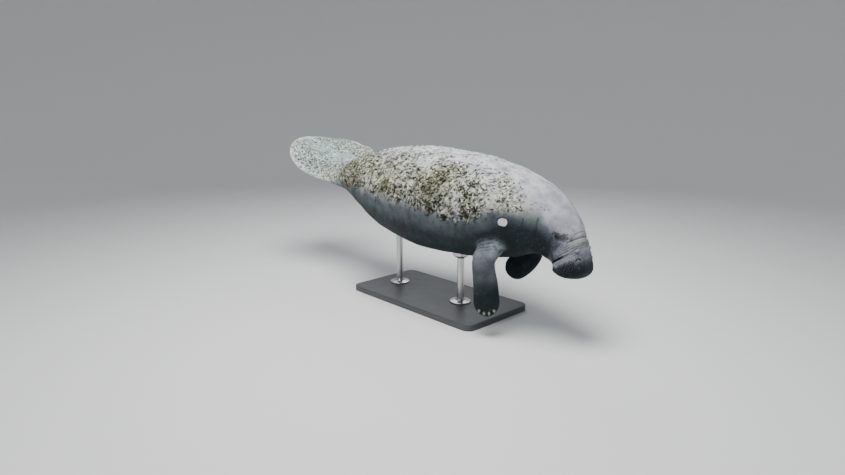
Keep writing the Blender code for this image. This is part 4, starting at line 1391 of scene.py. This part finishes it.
def paintBase(body):
    # Broad colour of each point of the skin, with painted light on the upper parts and painted shade on the
    # lower and hidden ones
    mesh = body.data
    points = pointsOf(mesh)
    along, turn = placesOf(mesh)
    flipper = readValues(mesh, "flipper")
    fromTop = fromTopOf(turn)
    wander = roughness(points, 0.14, 7.7, 3)
    finer = roughness(points, 0.030, 1.9, 3)
    count = len(points)

    def plain(name):
        return np.tile(tones[name], (count, 1))

    # Painted light and shade: pale on the back, darkening down the sides to the underside
    lower = smoothThrough(coat["paleEdge"], along) + 5 * wander
    colour = layered(plain("back"), [
        ("belt", smoothRise(fromTop + 8 * wander, 26, 58)),
        ("shadedFlank", smoothRise(fromTop, lower - 16, lower + 4)),
    ])
    # painted shade underneath, deepest toward the throat
    front = 1 - smoothRise(along, 0.50, 0.90)
    under = layered(plain("shadedBelly"), [("jawShade", front)])
    colour = mixed(colour, under, smoothRise(fromTop, lower + 2 - 4 * front, lower + 28 - 8 * front))

    behind = smoothRise(along, 0.24, 0.27) + smoothRise(fromTop - 74 + 550 * (along - 0.246), 0, 8)
    snout = (1 - smoothRise(along, 0.180, 0.200)) * (1 - 0.85 * smoothRise(fromTop + 5 * finer, 74, 106))
    nose = 1 - smoothRise(along + 0.012 * finer, 0.112, 0.150)
    nose *= 1 - smoothRise(fromTop + 6 * finer, 44, 66)
    lip = 1 - smoothRise(along + 0.004 * finer, face["crease"] - 0.004, face["crease"] + 0.004)
    pad = 1 - smoothRise(along + 0.010 * finer, 0.098, 0.116)
    # Painted light on the head's top, the snout and the lip pads' upper edge; painted shade down its sides,
    # underneath, on the front and end of the muzzle and on the lip pads
    skull = layered(plain("litHeadTop"), [
        ("shadedHeadSide", smoothRise(fromTop + 6 * wander, 46, 74)),
        ("jawShade", smoothRise(fromTop + 4 * wander, 70, 92) * np.clip(behind, 0, 1)),
        ("jawShade", smoothRise(fromTop, 118, 136)),
        ("snout", snout),
        ("halfShadedNoseTop", nose),
        ("litLipTop", lip * smoothRise(fromTop, 46, 62) * (1 - smoothRise(fromTop, 128, 140))),
        ("shadedLipPad", pad * smoothRise(fromTop + 8 * finer, 44, 62)),
        ("shadedMuzzleEnd", 0.96 * (1 - smoothRise(along + 0.010 * finer, 0.058, 0.122))),
    ])
    colour = mixed(colour, skull, 1 - smoothRise(along + 0.03 * wander, 0.30, 0.56))

    paddle = smoothRise(along + 0.05 * wander, 2.08, 2.34)
    # painted shade on the paddle's underside
    tail = layered(plain("paddle"), [("shadedPaddleUnder", smoothRise(fromTop, 94, 108))])
    colour = mixed(colour, tail, paddle)
    centre, _, left, _ = spineFrame(along)
    sideways = np.abs(((points - centre) * left).sum(-1))
    sideways /= ringSizes(along)[0] * np.maximum(capScale(along), 0.05)
    rim = smoothRise(sideways, 0.86, 0.95) * smoothRise(along, 2.28, 2.42) + smoothRise(along, 2.945, 2.975)
    rim = np.clip(rim, 0, 1)
    writeValues(mesh, "rim", rim)
    colour = layered(colour, [("margin", rim * 0.8)])

    # Painted light on the flippers' upper part; painted shade toward their ends, on the far flipper and on
    # the faces turned to the body
    arm = np.clip(flipper * 1.4, 0, 1)
    lowShade = smoothRise(0.62 - points[:, 2] + 0.04 * wander, 0.04, 0.36) ** 0.5
    innerShade = smoothRise(points[:, 1], -0.20, -0.12) * 0.85
    limb = layered(plain("litFlipper"), [("shadedFlipper", lowShade), ("shadedFlipper", innerShade)])
    colour = mixed(colour, limb, arm)
    colour[:, 3] = 1
    layer = mesh.attributes.new("base", "FLOAT_COLOR", "POINT")
    layer.data.foreach_set("color", colour.astype(np.float32).ravel())

    pale = np.zeros(count)
    for side, mask in (("right", np.cos(turn) <= 0), ("left", np.cos(turn) > 0)):
        for path, width in marks[side]:
            line = pathDistance(along[mask], fromTop[mask], path, 0.0050) + 0.002 * finer[mask]
            pale[mask] = np.maximum(pale[mask], 1 - smoothRise(line, width * 0.6, width * 1.2))
    writeValues(mesh, "pale", pale * (1 - arm))
    writeValues(mesh, "headPart", plateau(along, 0.102, 0.178, 0.014) * (1 - smoothRise(fromTop, 100, 125)))
    above = paddle * (1 - arm) * (1 - smoothRise(fromTop, 96, 110))
    writeValues(mesh, "paddlePart", above * (1 - 0.85 * rim))


def skinFinish():
    skin = Finish("manatee_skin", Roughness=0.5, Specular_IOR_Level=0.18)
    base = skin.stored("base", "Color")
    fold, algae, pale = skin.stored("fold"), skin.stored("algae"), skin.stored("pale")
    arm = skin.stored("flipper")
    head, paddle = skin.stored("headPart"), skin.stored("paddlePart")
    grain = skin.noise(240, 4.0, 0.6)
    broad = skin.noise(13, 5.0, 0.62)
    mid = skin.noise(48, 4.0, 0.6, shift=3.0)
    pebble = skin.cells(135, warp=0.30)
    cracks = skin.cells(80, "DISTANCE_TO_EDGE", stretch=(1, 1, 0.5), warp=0.4)
    darker = skin.blend(1.0, base, tones["darker"], "MULTIPLY")
    paler = skin.blend(1.0, base, tones["paler"], "MULTIPLY")
    colour = skin.blend(broad.rise(0.36, 0.66), darker, paler)
    colour = skin.blend(mid.rise(0.62, 0.76) * 0.12, colour, tones["pale"])
    colour = skin.blend(mid.rise(0.40, 0.28) * 0.40, colour, tones["grime"])
    crown = skin.noise(120, 3.0, 0.65, stretch=(0.7, 1, 1), shift=11.0)
    colour = skin.blend(crown.rise(0.52, 0.64) * head * 0.50, colour, tones["pale"])
    colour = skin.blend(pebble.rise(0.36, 0.60) * head * 0.38, colour, tones["pebble"])
    speck = skin.noise(62, 3.0, 0.7, shift=8.0).rise(0.54, 0.59)
    colour = skin.blend(speck * paddle * 0.85, colour, tones["speck"])
    film = skin.noise(62, 5.0, 0.66, stretch=(0.8, 1, 0.8), shift=5.0)
    growth = (algae * 1.4 + skin.noise(11, 4.0, 0.6, shift=2.0) - 0.75).rise(0.0, 0.55)
    tint = skin.stored("olive")
    colour = skin.blend(growth * tint * 0.75, colour, tones["oliveFilm"])
    colour = skin.blend(film.rise(0.50, 0.58) * growth * 0.70, colour, tones["film"])
    dark = skin.blend(tint * 0.8, tones["weedDark"], tones["oliveDark"])
    colour = skin.blend(film.rise(0.47, 0.41) * growth * 0.85, colour, dark)
    colour = skin.blend(pale * 0.85, colour, tones["pale"])
    place, turn = whitePatch["place"]
    middle = skinPoints(place, math.radians(90 + turn))
    length, height = whitePatch["length"], whitePatch["height"]
    squeeze = (1 / length, 1 / length, 1 / height)
    spot = skin.node("VectorMath", {"operation": "SUBTRACT"}, {0: skin.places(), 1: middle})
    spot = skin.node("VectorMath", {"operation": "MULTIPLY"}, {0: spot, 1: squeeze})
    reach = skin.node("VectorMath", {"operation": "LENGTH"}, {0: spot}, "Value") + (mid - 0.5) * 0.6
    above = skin.node("SeparateXYZ", {}, {0: spot}, "Z").rise(-0.2, 0.5)
    colour = skin.blend(reach.rise(1.45, 1.20) * above * 0.85, colour, tones["patchShadow"])
    colour = skin.blend(reach.rise(1.05, 0.90), colour, tones["patch"])
    # painted shade round the eyes, broken up by noise
    shadow = skin.stored("patch") * (crown.rise(0.66, 0.50) * 0.35 + 0.62)
    colour = skin.blend(shadow, colour, tones["eyeShade"])
    # painted shade in creases and hollows
    colour = skin.blend(fold * 0.88, colour, tones["fold"])
    skin.give("Base Color", colour)
    skin.give("Roughness", growth.rise(0.0, 1.0, 0.56, 0.80))
    height = grain * 0.25 - pebble * (head * 0.7 + 0.15) + mid * 0.8
    height = height + cracks.rise(0.0, 0.10) * (arm * 0.5 + 0.35)
    skin.bump(height + film * growth * 1.2, 0.0024)
    return skin.material


def coatFinish():
    weed = Finish("algae", Roughness=0.75, Specular_IOR_Level=0.2)
    shade = weed.stored("shade")
    low = weed.blend(shade.rise(0.18, 0.46), tones["weedDark"], tones["weedOlive"])
    weed.give("Base Color", weed.blend(shade.rise(0.46, 0.66), low, tones["film"]))
    return weed.material


def hairFinish():
    hair = Finish("hairs", Roughness=0.5)
    shade = hair.stored("shade")
    hair.give("Base Color", hair.blend(shade, *hairs["colours"]))
    return hair.material


def eyeFinish():
    eye = Finish("eyeball", Roughness=0.25, Specular_IOR_Level=0.25, Coat_Weight=0.45, Coat_Roughness=0.04)
    angle = eye.stored("fromAxis") * 90
    streaks = eye.noise(900, 2.0)
    iris = eye.blend(streaks, *eyeSizes["iris"])
    colour = eye.blend(angle.rise(11.0, 14.5), eyeSizes["pupil"], iris)
    colour = eye.blend(angle.rise(30.0, 44.0), colour, eyeSizes["rim"])
    eye.give("Base Color", colour)
    return eye.material


def nailFinish():
    nail = Finish("nail_horn", Roughness=0.38)
    grain = nail.noise(300, 3.0, stretch=(1, 1, 0.3))
    tip = nail.stored("toTip")
    nail.give("Base Color", nail.blend(tip * 0.6 + grain * 0.5, *nailSizes["colours"]))
    nail.bump(grain, 0.0003)
    return nail.material


stand = {"steel": (0.55, 0.55, 0.56, 1), "paint": (0.060, 0.063, 0.068, 1)}


def steelFinish():
    steel = Finish("brushed_steel", Metallic=1.0, Base_Color=stand["steel"])
    brush = steel.noise(900, 3.0, stretch=(1, 1, 0.02))
    steel.give("Roughness", brush.rise(0.2, 0.8, 0.24, 0.42))
    steel.bump(brush, 0.00008)
    return steel.material


def paintFinish():
    paint = Finish("grey_paint", Base_Color=stand["paint"], Specular_IOR_Level=0.4)
    peel = paint.noise(420, 2.0)
    paint.give("Roughness", paint.noise(9, 3.0).rise(0.2, 0.8, 0.36, 0.46))
    paint.bump(peel, 0.00012)
    return paint.material


def cover(piece, material):
    piece.data.materials.clear()
    piece.data.materials.append(material)


def dress(piece, material, replaced=()):
    cover(piece, material)
    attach(piece, "root")
    if replaced:
        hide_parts(*replaced)


# Everything is made and placed
manatee = rollBody()
pitPlaces = sculptSkin(manatee)
paintBase(manatee)
flesh = ["head", "neck", "torso_front", "torso_middle", "torso_rear", "tail_stock", "tail_paddle",
         "flipper_right", "flipper_left"]
dress(manatee, skinFinish(), flesh)
print("skin:", len(manatee.data.polygons), "faces")

weedLook = coatFinish()
for piece in growAlgae(manatee):
    dress(piece, weedLook)
    print("algae:", piece.name, len(piece.data.polygons), "faces")
hairLook = hairFinish()
dress(growHairs(manatee), hairLook)
dress(growBristles(pitPlaces), hairLook)
print("hairs and bristles grown")

eyeLook = eyeFinish()
for side in (1, -1):
    eye, node = makeEye(side)
    dress(eye, eyeLook, [node])
nailLook = nailFinish()
for side in ("right", "left"):
    for number in range(1, 5):
        nail, node = makeNail(side, number)
        dress(nail, nailLook, [node])
print("eyes and nails made")

steelLook = steelFinish()
for rod in ("stand_rod_front", "stand_rod_rear"):
    cover(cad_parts[rod], steelLook)
    dress(makeScrews(rod), steelLook)
cover(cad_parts["stand_base"], paintFinish())
print("stand finished")

# The studio
studio = {
    "radius": 11.0,
    "wall": 6.0,
    "sweep": 4.0,
    "floor": (0.66, 0.67, 0.67, 1),
    "world": (0.80, 0.84, 0.88, 1),
    "worldStrength": 0.48,
}
camera = {
    "azimuth": 45.245,
    "elevation": 8.521,
    "distance": 3.924,
    "target": (0, 0, 0.76),
    "yaw": 1.464,
    "pitchDown": 12.817,
    "lens": 23.763,
}
lights = [   # name, place, size, power, colour
    ("key", (0.6, -1.1, 4.3), 2.6, 330, (1.0, 0.985, 0.96)),
    ("front", (3.8, -3.0, 3.2), 2.4, 26, (0.93, 0.965, 1.0)),
    ("rear", (-2.6, 2.6, 3.4), 2.4, 60, (0.92, 0.96, 1.0)),
]


def makeFloor():
    floor = added(bpy.ops.mesh.primitive_cylinder_add, "studio_floor", vertices=96,
                  radius=studio["radius"], depth=studio["wall"], location=(0, 0, studio["wall"] / 2))
    settle(floor)
    editOnly(floor, "polygons", facingUp(floor, 0.9))
    bpy.ops.mesh.delete(type="FACE")
    bpy.ops.mesh.select_all(action="SELECT")
    bpy.ops.mesh.flip_normals()
    leaveEdit()
    editOnly(floor, "polygons", facingUp(floor, 0.9))
    bpy.ops.mesh.bevel(offset=studio["sweep"], segments=10)
    leaveEdit()
    bpy.ops.object.shade_smooth_by_angle(angle=math.radians(30))
    ground = Finish("floor", Base_Color=studio["floor"], Roughness=0.7)
    floor.data.materials.append(ground.material)


def makeLights():
    world = bpy.data.worlds.new("studio")
    world.use_nodes = True
    sky = world.node_tree.nodes["Background"]
    sky.inputs["Color"].default_value = studio["world"]
    sky.inputs["Strength"].default_value = studio["worldStrength"]
    bpy.context.scene.world = world
    for name, place, size, power, colour in lights:
        bpy.ops.object.light_add(type="AREA", location=place)
        light = bpy.context.object
        light.name = name
        light.data.shape = "DISK"
        light.data.size = size
        light.data.energy = power
        light.data.color = colour
        aim = Vector(camera["target"]) - Vector(place)
        light.rotation_euler = aim.to_track_quat("-Z", "Y").to_euler()


def makeCamera():
    angles = [camera[key] for key in ("azimuth", "elevation", "yaw", "pitchDown")]
    turn, rise, yaw, down = [math.radians(angle) for angle in angles]
    z = Vector((0, 0, 1))
    away = Vector((math.sin(turn) * math.cos(rise), -math.cos(turn) * math.cos(rise), math.sin(rise)))
    right = Vector((math.cos(turn), math.sin(turn), 0))
    level = Vector((-math.sin(turn), math.cos(turn), 0))
    forward = level * math.cos(yaw) - right * math.sin(yaw)
    right = right * math.cos(yaw) + level * math.sin(yaw)
    up = forward * math.sin(down) + z * math.cos(down)
    forward = forward * math.cos(down) - z * math.sin(down)
    place = Vector(camera["target"]) + away * camera["distance"]
    view = Matrix((right, up, -forward)).transposed()
    bpy.ops.object.camera_add(location=place, rotation=view.to_euler())
    seen = bpy.context.object
    seen.name = "photo_camera"
    seen.data.lens = camera["lens"]
    seen.data.sensor_width = 36
    bpy.context.scene.camera = seen


makeFloor()
makeLights()
makeCamera()
print("studio made")
